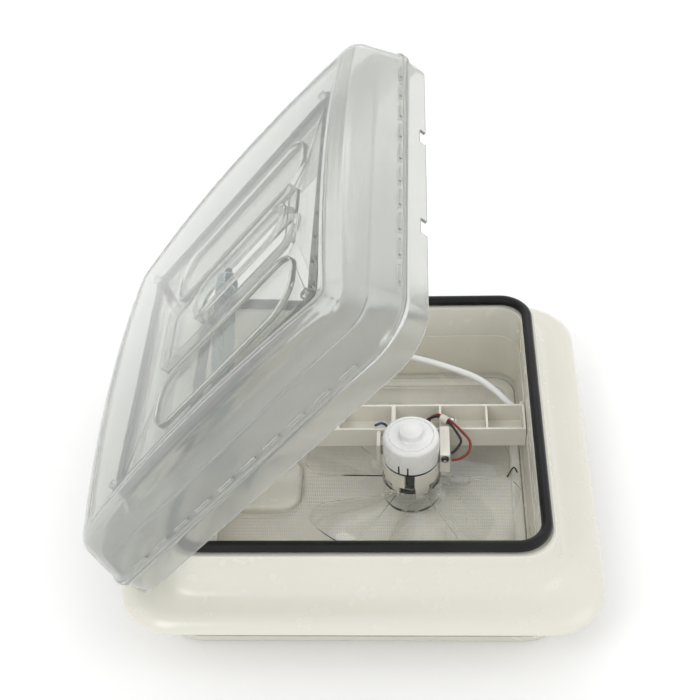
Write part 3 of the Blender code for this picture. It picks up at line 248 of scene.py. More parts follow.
@made_once
def acrylic(tree, shader, tint, roughness, waves=0.00001, wave_scale=12.0, clear=1.0, ior=1.46, coat=0.0):
    """Acrylic with faint flow waves, frosted where clear is low, that lamps shine through."""
    tree.links.new(two_tone(tree, pattern(tree, 9.0), shade(tint, 0.985), tint), shader.inputs["Base Color"])
    rubbed = spread(tree, pattern(tree, 40.0, 5.0), roughness * 0.7, roughness * 1.3)
    tree.links.new(rubbed, shader.inputs["Roughness"])
    rough_skin(tree, shader, pattern(tree, wave_scale, 1.0), waves, 0.5)
    shader.inputs["Transmission Weight"].default_value = clear
    shader.inputs["IOR"].default_value = ior
    shader.inputs["Coat Weight"].default_value = coat
    path = tree.nodes.new("ShaderNodeLightPath")
    passing = tree.nodes.new("ShaderNodeBsdfTransparent")
    passing.inputs["Color"].default_value = (0.98, 0.98, 0.98, 1)
    mixed = tree.nodes.new("ShaderNodeMixShader")
    tree.links.new(path.outputs["Is Shadow Ray"], mixed.inputs["Fac"])
    tree.links.new(shader.outputs["BSDF"], mixed.inputs[1])
    tree.links.new(passing.outputs["BSDF"], mixed.inputs[2])
    tree.links.new(mixed.outputs["Shader"], tree.nodes["Material Output"].inputs["Surface"])


@made_once
def metal(tree, shader, tone, roughness=0.3, stretch=(1.0, 1.0, 1.0), scale=320.0):
    """Plated or drawn metal with streaks along its grain."""
    streaks = pattern(tree, scale, 4.0, stretch)
    tree.links.new(two_tone(tree, streaks, shade(tone, 0.82), shade(tone, 1.12)), shader.inputs["Base Color"])
    tree.links.new(spread(tree, streaks, roughness * 0.75, roughness * 1.3), shader.inputs["Roughness"])
    rough_skin(tree, shader, streaks, 0.00002)
    shader.inputs["Metallic"].default_value = 1.0


def white_plastic():
    return moulded("white_plastic", settings().frame.white, 0.24, 0.012, coat=0.25)


def black_plastic():
    return moulded("black_plastic", (0.015, 0.015, 0.016), 0.38, 0.3)


def beam_plastic():
    return moulded("beam_plastic", settings().motor.beam, 0.3, 0.035)


def lid_clear():
    return acrylic("clear_plastic", settings().lid.tint, settings().lid.haze, use="_lid")


def lid_frosted():
    return acrylic("clear_plastic", settings().lid.frost, 0.13, 0.00002, 14.0, 0.86, use="_frosted")


def screw_steel():
    return metal("screw_steel", (0.55, 0.55, 0.56), 0.28, scale=900.0)


# ---- Outlines ----------------------------------------------------------------------------------
def toward(angle):
    """The plan direction at an angle."""
    return Vector((math.cos(angle), math.sin(angle)))


def rounded_rect(half_x, half_y, radius, steps=10, sides=1, centre=(0.0, 0.0)):
    """Plan points of a rounded rectangle, anticlockwise, with the same count for every size."""
    radius = max(min(radius, half_x, half_y), TINY)
    points = []
    for number, (sx, sy) in enumerate(CORNERS):
        middle = Vector((sx * (half_x - radius), sy * (half_y - radius)))
        start = math.radians(90 * number - 90)
        for step in range(steps + 1):
            angle = start + math.pi / 2 * step / steps
            points.append(middle + radius * toward(angle))
        nx, ny = CORNERS[(number + 1) % 4]
        after = Vector((nx * (half_x - radius), ny * (half_y - radius)))
        after += radius * toward(start + math.pi / 2)
        last = points[-1]
        points += [last.lerp(after, step / sides) for step in range(1, sides)]
    return [point + Vector(centre) for point in points]


def offset_path(path, distance):
    """The path of (r, z) points moved to the right of its direction."""
    moved = []
    for number, point in enumerate(path):
        normals = []
        for a, b in ((number - 1, number), (number, number + 1)):
            if 0 <= a and b < len(path):
                along = Vector(path[b]) - Vector(path[a])
                normals.append(Vector((along.y, -along.x)).normalized())
        mean = sum(normals, Vector((0, 0))).normalized()
        stretch = 1 / max(mean.dot(normals[0]), 0.5)
        moved.append(tuple(Vector(point) + mean * distance * stretch))
    return moved


def smooth_path(path, steps=4):
    """A Catmull-Rom curve through the path's points, with steps points to each span."""
    path = [Vector(point) for point in path]
    ends = [2 * path[0] - path[1], *path, 2 * path[-1] - path[-2]]
    fine = [path[0]]
    for a, b, c, d in zip(ends, ends[1:], ends[2:], ends[3:]):
        for step in range(1, steps + 1):
            t = step / steps
            bend = 2 * b + t * (c - a) + t * t * (2 * a - 5 * b + 4 * c - d) + t**3 * (3 * b - a - 3 * c + d)
            fine.append(bend / 2)
    return fine


def filleted(path, radius, steps=4):
    """The path with each inner corner rounded off, for as much of the radius as its sides allow."""
    path = [Vector(point) for point in path]
    out = [path[0]]
    for before, corner, after in zip(path, path[1:], path[2:]):
        cut = min(radius, (before - corner).length * 0.45, (after - corner).length * 0.45)
        start = corner + (before - corner).normalized() * cut
        end = corner + (after - corner).normalized() * cut
        for step in range(steps + 1):
            t = step / steps
            out.append(start * (1 - t) ** 2 + corner * 2 * t * (1 - t) + end * t**2)
    return out + [path[-1]]


def circle(radius, steps, centre=(0.0, 0.0)):
    angles = [math.tau * step / steps for step in range(steps)]
    return [Vector(centre) + radius * toward(angle) for angle in angles]


def at_height(outline, z):
    return [Vector((point.x, point.y, z)) for point in outline]


# ---- Meshes ------------------------------------------------------------------------------------
def bridged(rings, closed=False):
    """Points and faces of rings joined in turn: a closed tube of them, or a solid with a cap at each end."""
    size, count = len(rings[0]), len(rings)
    points = [point for ring in rings for point in ring]
    faces = []
    for number in range(count if closed else count - 1):
        a, b = number * size, (number + 1) % count * size
        faces += [(a + i, a + (i + 1) % size, b + (i + 1) % size, b + i) for i in range(size)]
    if not closed:
        faces.append(tuple(reversed(range(size))))
        faces.append(tuple(range((count - 1) * size, count * size)))
    return points, faces


def block(low, high):
    """Points and faces of a box."""
    corners = ((low[0], low[1]), (high[0], low[1]), (high[0], high[1]), (low[0], high[1]))
    return bridged([[Vector((*corner, z)) for corner in corners] for z in (low[2], high[2])])


def gathered(parts):
    """Several (points, faces) made one."""
    points, faces = [], []
    for more, rings in parts:
        base = len(points)
        points += more
        faces += [tuple(base + i for i in face) for face in rings]
    return points, faces


def linked(name, data):
    """A new object in the scene."""
    made = bpy.data.objects.new(name, data)
    bpy.context.scene.collection.objects.link(made)
    return made


def mesh_from(name, points, faces, place=None):
    place = place or Matrix.Identity(4)
    built = bmesh.new()
    corners = [built.verts.new(place @ Vector(point)) for point in points]
    for face in faces:
        built.faces.new([corners[i] for i in face])
    bmesh.ops.recalc_face_normals(built, faces=built.faces)
    mesh = bpy.data.meshes.new(name)
    built.to_mesh(mesh)
    built.free()
    return mesh


def piece(name, shape, finish, body, nodes=(), place=None, rounding=0.0, sharp=35.0):
    """A named piece of (points, faces) on a body, standing for CAD nodes, in its finish's slot."""
    mesh = mesh_from(name, *shape, place)
    mesh.shade_smooth()
    mesh.set_sharp_from_angle(angle=math.radians(sharp))
    mesh.materials.append(finish)
    made = linked(name, mesh)
    if rounding:
        bevel = made.modifiers.new("rounding", "BEVEL")
        bevel.width = rounding
        bevel.segments = 3
        bevel.limit_method = "ANGLE"
        bevel.angle_limit = math.radians(40)
        bevel.harden_normals = True
    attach(made, body)
    if nodes:
        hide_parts(*nodes)
    finish.name.split(ENDING)[0]
    return made


def cut_out(target, shape, place=None):
    """Cuts a shape out of the target's mesh, before its other modifiers."""
    mesh = mesh_from(f"{target.name}_tool", *shape, place)
    tool = linked(mesh.name, mesh)
    modifier = target.modifiers.new("work", "BOOLEAN")
    modifier.operation = "DIFFERENCE"
    modifier.solver = "EXACT"
    modifier.object = tool
    bpy.context.view_layer.objects.active = target
    while target.modifiers[0] != modifier:
        bpy.ops.object.modifier_move_up(modifier=modifier.name)
    bpy.ops.object.modifier_apply(modifier=modifier.name)
    bpy.data.objects.remove(tool)
    target.data.shade_smooth()
    target.data.set_sharp_from_angle(angle=math.radians(35))


def turned(profile, steps=72, closed=False, axis="Z", centre=(0.0, 0.0, 0.0)):
    """Points and faces of a profile of (radius, height) turned about an axis through the centre."""
    rings = []
    for radius, height in profile:
        ring = at_height(circle(max(radius, TINY), steps), height)
        if axis == "Y":
            ring = [Vector((p.x, p.z, -p.y)) for p in ring]
        if axis == "X":
            ring = [Vector((p.z, p.x, p.y)) for p in ring]
        rings.append([point + Vector(centre) for point in ring])
    return bridged(rings, closed)


def swept(route, section):
    """A section, as (side, up) points, carried along a smooth curve through the route."""
    line = smooth_path(route, 8)
    rings = []
    side = Vector((0, 0, 1))
    for number, point in enumerate(line):
        along = (line[min(number + 1, len(line) - 1)] - line[max(number - 1, 0)]).normalized()
        side = (side - along * side.dot(along)).normalized()
        up = along.cross(side)
        rings.append([point + side * u + up * v for u, v in section])
    return bridged(rings)


def cord(name, route, radius, finish, node):
    piece(name, swept(shifted(route), circle(radius, 20)), finish, "frame", (node,), sharp=60)


def node_finish(finish, *names):
    """CAD nodes whose shape stays take a finish."""
    for name in names:
        node = frame["nodes"][name]
        node.data.materials.clear()
        node.data.materials.append(finish)


def around(half, z, corner, steps=12, sides=1):
    """A rounded square round the opening's centre."""
    return at_height(rounded_rect(half, half, corner, steps, sides, (CENTRE.x, CENTRE.y)), z)


def frame_corner(half):
    share = (half - SEAL_HALF) / (FLANGE_HALF - SEAL_HALF)
    return SEAL_CORNER * (1 + share)


def ring_shape(profile, steps=14):
    """A closed profile of (half, z) carried round the opening."""
    return bridged([around(half, z, frame_corner(half), steps) for half, z in profile], True)


class Step:
    """What every step of the build shares."""

    def execute(self, context):
        self.build()
        return {"FINISHED"}


# ---- Frame -------------------------------------------------------------------------------------
class VENT_OT_frame(Step, Operator):
    """Builds the roof frame with its lugs, the seal and the liner"""

    bl_idname = "vent.frame"
    bl_label = "Frame, Seal and Liner"

    def build(self):
        white = white_plastic()
        lip_out, lip_z, roof_z = SEAL_HALF + SEAL_RADIUS + 0.0023, CENTRE.z - 0.0034, CENTRE.z - 0.048
        shares = (
            (0, 0), (0.02, 0.05), (0.06, 0.30), (0.14, 0.53), (0.28, 0.68), (0.48, 0.755),
            (0.68, 0.80), (0.83, 0.85), (0.93, 0.915), (0.985, 0.97), (1, 1),
        )
        run, fall = FLANGE_HALF - lip_out, lip_z - roof_z
        skin = [Vector((lip_out + across * run, lip_z - down * fall)) for across, down in shares]
        skin = smooth_path(skin, 4)
        under = [Vector(point) for point in offset_path(skin, 0.0026)]
        under[-1] = Vector((FLANGE_HALF - 0.0026, roof_z))
        groove = CENTRE.z - SEAL_RADIUS - GAP
        wall_in, seat_out = SEAL_HALF - 0.005, SEAL_HALF + SEAL_RADIUS + 0.0004
        seam, neck_end = CENTRE.z - 0.037, 0.022
        rib_out, rib_top = NECK_OUT + 0.026, roof_z + 0.0026
        cavity = [point for point in under if point.y < groove - 0.0066]
        profile = [
            *skin,
            *reversed(cavity),
            (cavity[0].x - 0.0012, groove - 0.0026),
            (NECK_OUT, groove - 0.0026), (NECK_OUT, rib_top), (rib_out, rib_top), (rib_out, roof_z),
            (NECK_OUT, roof_z), (NECK_OUT, neck_end), (NECK_IN, neck_end), (NECK_IN, seam), (wall_in, seam),
            (wall_in, groove - 0.0024), (wall_in + 0.0006, groove - 0.0008), (wall_in + 0.002, groove),
            (seat_out, groove), (seat_out, lip_z),
        ]
        piece("frame_moulding", ring_shape(profile), white, "frame", ("outer_frame",))
        places = [side * HINGE_Y + end * 0.0095 for side in (-1, 1) for end in (-1, 1)]
        lugs = [eye_shape(place, 0.004, 0, ((-0.0040, -0.0095), (0.0040, -0.0095))) for place in places]
        piece("hinge_lugs", gathered(lugs), white, "frame", rounding=0.0004)
        rubber = moulded("seal_rubber", settings().frame.rubber, 0.36, 0.3, 500.0, 0.00002)
        rubber.node_tree.nodes["Principled BSDF"].inputs["Specular IOR Level"].default_value = 0.22
        rings = [
            around(SEAL_HALF + point.x, CENTRE.z + point.y, SEAL_CORNER + point.x, 16)
            for point in circle(SEAL_RADIUS, 24)
        ]
        piece("seal_tube", bridged(rings, True), rubber, "frame", ("dome_seal",), sharp=80)
        cream = moulded("liner_plastic", settings().frame.cream, 0.32, 0.05)
        top, low = LINER_HIGH.z, LINER_LOW.z
        profile = ((LINER_OUT, top), (LINER_IN, top), (LINER_IN, low), (LINER_OUT, low))
        piece("liner_wall", ring_shape(profile), cream, "frame", ("inner_liner",), rounding=0.0005)


def eye_shape(middle, width, start, foot):
    """A round eye about the hinge from the start angle on, with a foot of two (along, up) points."""
    angles = [start + math.pi * step / 32 for step in range(33)]
    outline = [HINGE_RADIUS * toward(angle) for angle in angles]
    outline += [Vector(point) for point in foot]
    ends = (middle - width / 2, middle + width / 2)
    return bridged([[Vector((HINGE.x + p.x, y, HINGE.z + p.y)) for p in outline] for y in ends])


class VENT_OT_trim(Step, Operator):
    """Builds the ceiling trim and the screen's frame"""

    bl_idname = "vent.trim"
    bl_label = "Ceiling Trim"

    def build(self):
        white = white_plastic()
        out = (TRIM_HIGH.y - TRIM_LOW.y) / 2
        ceiling = 0.009
        inner = SCREEN_FRAME_HIGH.y + GAP
        profile = [
            (out, ceiling), (out, 0.0045), (out - 0.0005, 0.0030), (out - 0.0018, 0.0013), (out - 0.0045, 0),
            (inner + 0.003, 0), (inner + 0.0008, 0.0005), (inner, 0.0016), (inner, ceiling),
            (NECK_IN, ceiling), (NECK_IN, TRIM_HIGH.z), (NECK_OUT, TRIM_HIGH.z), (NECK_OUT, 0.003),
            (out - 0.004, 0.003), (out - 0.004, ceiling),
        ]
        piece("ceiling_trim", ring_shape(profile), white, "frame", ("trim_ring",))
        half = SCREEN_FRAME_HIGH.y
        low, high = SCREEN_FRAME_LOW.z, SCREEN_FRAME_HIGH.z
        profile = (
            (half - 0.009, low), (half, low), (half, high - 0.0009), (half - 0.0009, high),
            (half - 0.0066, high), (half - 0.0078, high - 0.0004), (half - 0.009, high - 0.0016),
        )
        piece("screen_rim", ring_shape(profile), white, "frame", ("screen_frame",), rounding=0.0003)


class VENT_OT_screen(Step, Operator):
    """Weaves the insect screen from single strands round the control pod"""

    bl_idname = "vent.screen"
    bl_label = "Insect Screen"

    def build(self):
        pitch, thick = settings().frame.mesh_pitch, settings().frame.mesh_strand
        finish = moulded("screen_mesh", settings().frame.mesh_colour, 0.5, 0.12, 1500.0)
        half, z = (SCREEN_HIGH.y - SCREEN_LOW.y) / 2 + 0.003, (SCREEN_LOW.z + SCREEN_HIGH.z) / 2
        corner = 0.020
        parts = []
        count = int(2 * half / pitch)
        for lengthways in (True, False):
            level = z + (thick if lengthways else -thick) * 0.42
            for number in range(count + 1):
                across = -half + (number + 0.5) * 2 * half / (count + 1)
                cut = max(0.0, abs(across) - (half - corner))
                reach = half - corner + math.sqrt(max(corner**2 - cut**2, 0))
                for start, end in clear_runs(across, -reach, reach, lengthways):
                    parts.append(strand(across, start, end, level, thick, lengthways))
        piece("insect_mesh", gathered(parts), finish, "frame", ("insect_screen",))


def clear_runs(across, start, end, lengthways):
    """The stretches of a strand that miss the control pod; places count from the opening's centre."""
    low, high = POD_LOW - CENTRE - Vector((GAP, GAP, 0)), POD_HIGH - CENTRE + Vector((GAP, GAP, 0))
    side_low, side_high = (low.y, high.y) if lengthways else (low.x, high.x)
    run_low, run_high = (low.x, high.x) if lengthways else (low.y, high.y)
    if not side_low < across < side_high:
        return [(start, end)]
    inset = max(0.0, POD_CORNER - min(across - side_low, side_high - across))
    pull = POD_CORNER - math.sqrt(max(POD_CORNER**2 - inset**2, 0))
    runs = [(start, run_low + pull), (run_high - pull, end)]
    return [run for run in runs if run[1] - run[0] > 0.001]


def strand(across, start, end, level, thick, lengthways):
    """One straight strand with a diamond section."""
    radius = thick / 2
    rings = []
    for along in (start, end):
        ring = []
        for side, up in ((radius, 0), (0, radius), (-radius, 0), (0, -radius)):
            x, y = (along, across + side) if lengthways else (across + side, along)
            ring.append(Vector((CENTRE.x + x, CENTRE.y + y, level + up)))
        rings.append(ring)
    return bridged(rings)


class VENT_OT_controls(Step, Operator):
    """Finishes the control pod, its panel, knob, buttons and board"""

    bl_idname = "vent.controls"
    bl_label = "Controls"

    def build(self):
        white = white_plastic()
        middle, half = middle_of("control_pod"), (POD_HIGH - POD_LOW) / 2
        top, low, wall = POD_HIGH.z, POD_LOW.z, 0.002
        shell = [(-wall - 0.0012, top - wall), (-wall, top - wall - 0.0012), (-wall, low), (0, low)]
        shell += [(0, top - 0.0035), (-0.0004, top - 0.0020), (-0.0014, top - 0.0008), (-0.0032, top)]
        rings = []
        for grow, z in shell:
            outline = rounded_rect(half.x + grow, half.y + grow, POD_CORNER + grow, 12, 1, middle.xy)
            rings.append(at_height(outline, z))
        pod = piece("pod_shell", bridged(rings), white, "frame", ("control_pod",))
        worm = middle_of("crank_worm")
        cut_out(pod, turned(((0.0036, low), (0.0036, top + 0.01)), 32, centre=(worm.x, worm.y, 0)))
        node_finish(white, "control_panel", "crank_knob")
        grey = moulded("button_plastic", (0.30, 0.31, 0.32), 0.45, 0.06)
        node_finish(grey, "fan_speed_button", "fan_power_button", "fan_direction_button")
        node_finish(moulded("lens_plastic", (0.10, 0.55, 0.16), 0.15, 0.05, coat=0.5), "indicator_lens")
        node_finish(moulded("circuit_board", (0.03, 0.16, 0.07), 0.4, 0.3), "control_board")


# ---- Lift --------------------------------------------------------------------------------------
class VENT_OT_lift(Step, Operator):
    """Builds the plated lift arm and finishes its gear, rollers and pins"""

    bl_idname = "vent.lift"
    bl_label = "Lift Arm"

    def build(self):
        plated = metal("plated_steel", (0.30, 0.40, 0.42), 0.3, (1.0, 1.0, 0.06), 300.0)
        pivot, roller = middle_of("arm_pivot_pin"), middle_of("roller_axle")
        along = Vector((roller.x - pivot.x, 0, roller.z - pivot.z))
        reach = along.length
        along.normalize()
        place = Matrix(
            ((along.x, 0, -along.z, pivot.x), (0, 1, 0, 0), (along.z, 0, along.x, pivot.z), (0, 0, 0, 1))
        )
        side, deep, gauge = 0.007, 0.008, 0.0016
        stations = [(-0.0058, 0.3), (-0.0052, 0.45), (-0.004, 0.58), (0.0, 0.75), (0.012, 0.92), (0.025, 1)]
        stations += [(reach - 0.004, 1), (reach, 0.97), (reach + 0.003, 0.86), (reach + 0.0055, 0.66)]
        stations += [(reach + 0.0068, 0.48), (reach + 0.0072, 0.36)]
        rings = []
        for distance, share in stations:
            d = deep * share
            web = d - gauge
            section = (
                (-d, -side), (-d, gauge - side), (web, gauge - side), (web, side - gauge),
                (-d, side - gauge), (-d, side), (d - 0.001, side), (d, side - 0.001), (d, 0.001 - side),
                (d - 0.001, -side),
            )
            rings.append([Vector((distance, y, z)) for z, y in section])
        arm = piece("lift_channel", bridged(rings), plated, "lift_arm", ("lift_arm",), place, sharp=30)
        for distance, radius in ((0, 0.0023), (reach, 0.0018)):
            bore = turned(((radius, -0.02), (radius, 0.02)), 24, axis="Y", centre=(distance, 0, 0))
            cut_out(arm, bore, place)
        node_finish(plated, "crank_worm")
        node_finish(moulded("gear_plastic", (0.70, 0.68, 0.60), 0.4, 0.05), "gear_bracket", "worm_gear")
        node_finish(black_plastic(), "roller_front", "roller_back")
        node_finish(screw_steel(), "roller_axle", "arm_pivot_pin")


def middle_of(node):
    low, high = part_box(node)
    return (low + high) / 2


# ---- Beam --------------------------------------------------------------------------------------
class VENT_OT_beam(Step, Operator):
    """Builds the cross beam with its ribs, bosses and screws"""

    bl_idname = "vent.beam"
    bl_label = "Cross Beam"

    def build(self):
        finish = beam_plastic()
        low, high, wall = BEAM_LOW, BEAM_HIGH, 0.002
        half = (high.x - low.x) / 2
        beam = piece("fan_beam", block(low, high), finish, "frame", ("cross_beam",), rounding=0.00035)
        thin, thick = wall, 0.0035
        ribs = (
            (-0.102, thin), (-0.063, thin), (-0.0235, thick), (0.0235, thick), (0.063, thin), (0.102, thin),
        )
        edges = [-half + wall]
        for x, width in ribs:
            edges += [x - width / 2, x + width / 2]
        edges.append(half - wall)
        pockets = [
            block((CENTRE.x + a, low.y + wall, low.z + wall), (CENTRE.x + b, high.y - wall, high.z + 0.01))
            for a, b in zip(edges[::2], edges[1::2])
        ]
        cut_out(beam, gathered(pockets))
        places = [(CENTRE.x + side * 0.073, 0.0245) for side in (-1, 1)]
        boss = ((0.0042, low.z + wall / 2), (0.0036, high.z - 0.0042), (0.0032, high.z - 0.004))
        bosses = [turned(boss, 40, centre=(*place, 0)) for place in places]
        piece("beam_bosses", gathered(bosses), finish, "frame")
        heads = [screw_shape((*place, high.z - 0.0037), 0.0028) for place in places]
        piece("beam_screws", gathered(heads), screw_steel(), "frame", ("beam_screw_left", "beam_screw_right"))


def screw_shape(place, radius):
    """A round head with a socket."""
    profile = [(0.45, 0.0009), (0.62, 0.0016), (0.85, 0.0012), (1, 0.0006), (1, 0)]
    return turned([(radius * share, height) for share, height in profile], 36, centre=place)


# ---- Motor -------------------------------------------------------------------------------------
class VENT_OT_motor(Step, Operator):
    """Builds the motor's case, cap and clamp"""

    bl_idname = "vent.motor"
    bl_label = "Motor"

    def build(self):
        axis = middle_of("motor_cap")
        axis.z = 0
        radius, low = (CAP_HIGH.x - CAP_LOW.x) / 2, CAP_LOW.z
        top = CAP_HIGH.z - 0.006
        inside = radius - 0.0022
        cap = [
            (TINY, top - 0.0024), (inside, top - 0.0024), (inside, low), (radius, low),
            (radius, top - 0.0036),
            (radius - 0.0003, top - 0.0022), (radius - 0.0010, top - 0.0010), (radius - 0.0028, top),
            (radius - 0.0041, top), (radius - 0.0044, top - 0.0008), (radius - 0.0050, top - 0.0008),
            (radius - 0.0053, top), (0.0106, top), (0.0099, top + 0.0007), (0.0097, top + 0.0046),
            (0.0093, top + 0.0056), (0.0084, top + 0.0060), (TINY, top + 0.0061),
        ]
        white = moulded("cap_plastic", settings().motor.cap, 0.27, 0.02, coat=0.2)
        made = piece("motor_hood", turned(cap, 96, centre=axis), white, "frame", ("motor_cap",))
        slots = [
            block((x, axis.y - 0.03, low - 0.001), (x + 0.0013, axis.y - 0.012, low + 0.008))
            for x in (axis.x - 0.0108, axis.x - 0.0035)
        ]
        cut_out(made, gathered(slots))
        node_finish(black_plastic(), "motor_gasket")
        wide, bottom, end = (CAN_HIGH.x - CAN_LOW.x) / 2, CAN_LOW.z + 0.002, CAN_HIGH.z
        can = [
            (0.0045, CAN_LOW.z), (0.0050, CAN_LOW.z + 0.0004), (0.0050, bottom), (wide - 0.0012, bottom),
            (wide, bottom + 0.0012), (wide, bottom + 0.008), (wide - 0.0004, bottom + 0.0084),
            (wide - 0.0004, bottom + 0.0092), (wide, bottom + 0.0096), (wide, end - 0.001),
            (wide - 0.001, end),
        ]
        steel = metal("motor_steel", settings().motor.steel, 0.3, (1.0, 1.0, 12.0), 60.0)
        piece("motor_case", turned(can, 96, centre=axis), steel, "frame", ("motor_can",))
        self.clamp(axis, radius)

    def clamp(self, axis, cap_radius):
        """The clamp band with its legs and its side block."""
        finish = beam_plastic()
        inner, outer = 0.0193, cap_radius + 0.0002
        top, low = CAP_LOW.z - 0.003, CENTRE.z - 0.0505
        leg_low, back = CENTRE.z - 0.064, BEAM_LOW.y - GAP
        block_x = (axis.x + cap_radius + GAP, axis.x + cap_radius + 0.0085)
        wall = arc_wall(axis, inner, outer, -83, 256, low, top)
        piece("clamp_band", wall, finish, "frame", ("motor_clamp",), rounding=0.0004)
        legs = [
            arc_wall(axis, inner, inner + 0.0026, -138, -118, leg_low, low + 0.004),
            arc_wall(axis, inner, inner + 0.0026, -81, -62, leg_low, low + 0.004),
            arc_wall(axis, inner, inner + 0.0026, -62.5, -48, leg_low + 0.0035, low + 0.004),
            block((block_x[0], axis.y - 0.008, top - 0.010), (block_x[1], back, CENTRE.z - 0.026)),
            block(
                (axis.x + inner + 0.0006, axis.y - 0.006, top - 0.0095),
                (block_x[0] + 0.001, axis.y + 0.006, top - 0.0005),
            ),
            block(
                (axis.x - 0.0288, axis.y + 0.008, low + 0.0002), (axis.x - 0.0256, back, CENTRE.z - 0.031)
            ),
            block((axis.x - 0.0280, axis.y + 0.015, top - 0.013), (axis.x - 0.0124, back, top - 0.001)),
        ]
        piece("clamp_legs", gathered(legs), finish, "frame", rounding=0.0004)
        node_finish(black_plastic(), "clamp_grommet")
        node_finish(screw_steel(), "clamp_screw")


def arc_wall(axis, inner, outer, start, end, low, high):
    """A wall along part of a circle; angles in degrees."""
    steps = max(6, round((end - start) / 3))
    rings = []
    for step in range(steps + 1):
        angle = math.radians(start + (end - start) * step / steps)
        out = Vector((*toward(angle), 0))
        section = ((inner, low), (outer, low), (outer, high), (inner, high))
        rings.append([axis + out * radius + Vector((0, 0, z)) for radius, z in section])
    return bridged(rings)


# ---- Fan ---------------------------------------------------------------------------------------
class VENT_OT_fan(Step, Operator):
    """Builds the clear fan rotor"""

    bl_idname = "vent.fan"
    bl_label = "Fan Rotor"

    def build(self):
        axis = middle_of("motor_can")
        axis.z = 0
        top, bottom, outer = ROTOR_HIGH.z, ROTOR_LOW.z, 0.0243
        inside = outer - 0.0019
        cup = [
            (0.0014, bottom + 0.0022), (0.0014, bottom + 0.0095), (0.0040, bottom + 0.0095),
            (0.0044, bottom + 0.0020), (inside - 0.0012, bottom + 0.0020), (inside - 0.0003, bottom + 0.0024),
            (inside, bottom + 0.0034), (inside, top - 0.0004), (inside + 0.0003, top), (outer - 0.0003, top),
            (outer, top - 0.0004), (outer, bottom + 0.0020), (outer - 0.0005, bottom + 0.0007),
            (outer - 0.0018, bottom), (0.004, bottom), (0.004, bottom + 0.0012), (0.0014, bottom + 0.0012),
        ]
        clear = acrylic(
            "clear_plastic", (0.95, 0.955, 0.95), 0.04, 0.00003, 30.0, ior=1.14, coat=1.0, use="_fan"
        )
        piece("rotor_cup", turned(cup, 96, True, centre=axis), clear, "fan", ("fan_rotor",))
        count, sweep = settings().motor.blades, settings().motor.blade_sweep
        starts = [math.radians(11 + 360 / count * number) for number in range(count)]
        blades = [blade_shape(axis, start, sweep, top) for start in starts]
        piece("rotor_blades", gathered(blades), clear, "fan", sharp=50)
        node_finish(screw_steel(), "motor_shaft")


def blade_shape(axis, start, sweep, top):
    """A pitched, cambered blade with round tips."""
    gauge, inner, outer = 0.0016, 0.0238, 0.092
    high, drop = top - 0.0018, 0.0175
    across, along = 16, 14
    faces_up, faces_down = [], []
    for i in range(along + 1):
        radius = inner + (outer - inner) * i / along
        trim = math.radians(9) * max(0.0, i / along - 0.72) ** 2 / 0.28**2
        for j in range(across + 1):
            share = j / across
            angle = start + trim + (sweep - 2 * trim) * share
            z = high - drop * (1 - share) + 0.0024 * math.sin(math.pi * share)
            point = axis + Vector((radius * math.cos(angle), radius * math.sin(angle), z))
            faces_up.append(point)
            faces_down.append(point - Vector((0, 0, gauge)))
    size, under = across + 1, len(faces_up)
    faces = []
    for i in range(along):
        for j in range(across):
            a, b, c, d = i * size + j, i * size + j + 1, (i + 1) * size + j + 1, (i + 1) * size + j
            faces += [(a, b, c, d), (under + d, under + c, under + b, under + a)]
    edge = [*range(across), *(i * size + across for i in range(along))]
    edge += [along * size + j for j in range(across, 0, -1)] + [i * size for i in range(along, 0, -1)]
    for a, b in zip(edge, edge[1:] + edge[:1]):
        faces.append((a, b, under + b, under + a))
    return faces_up + faces_down, faces


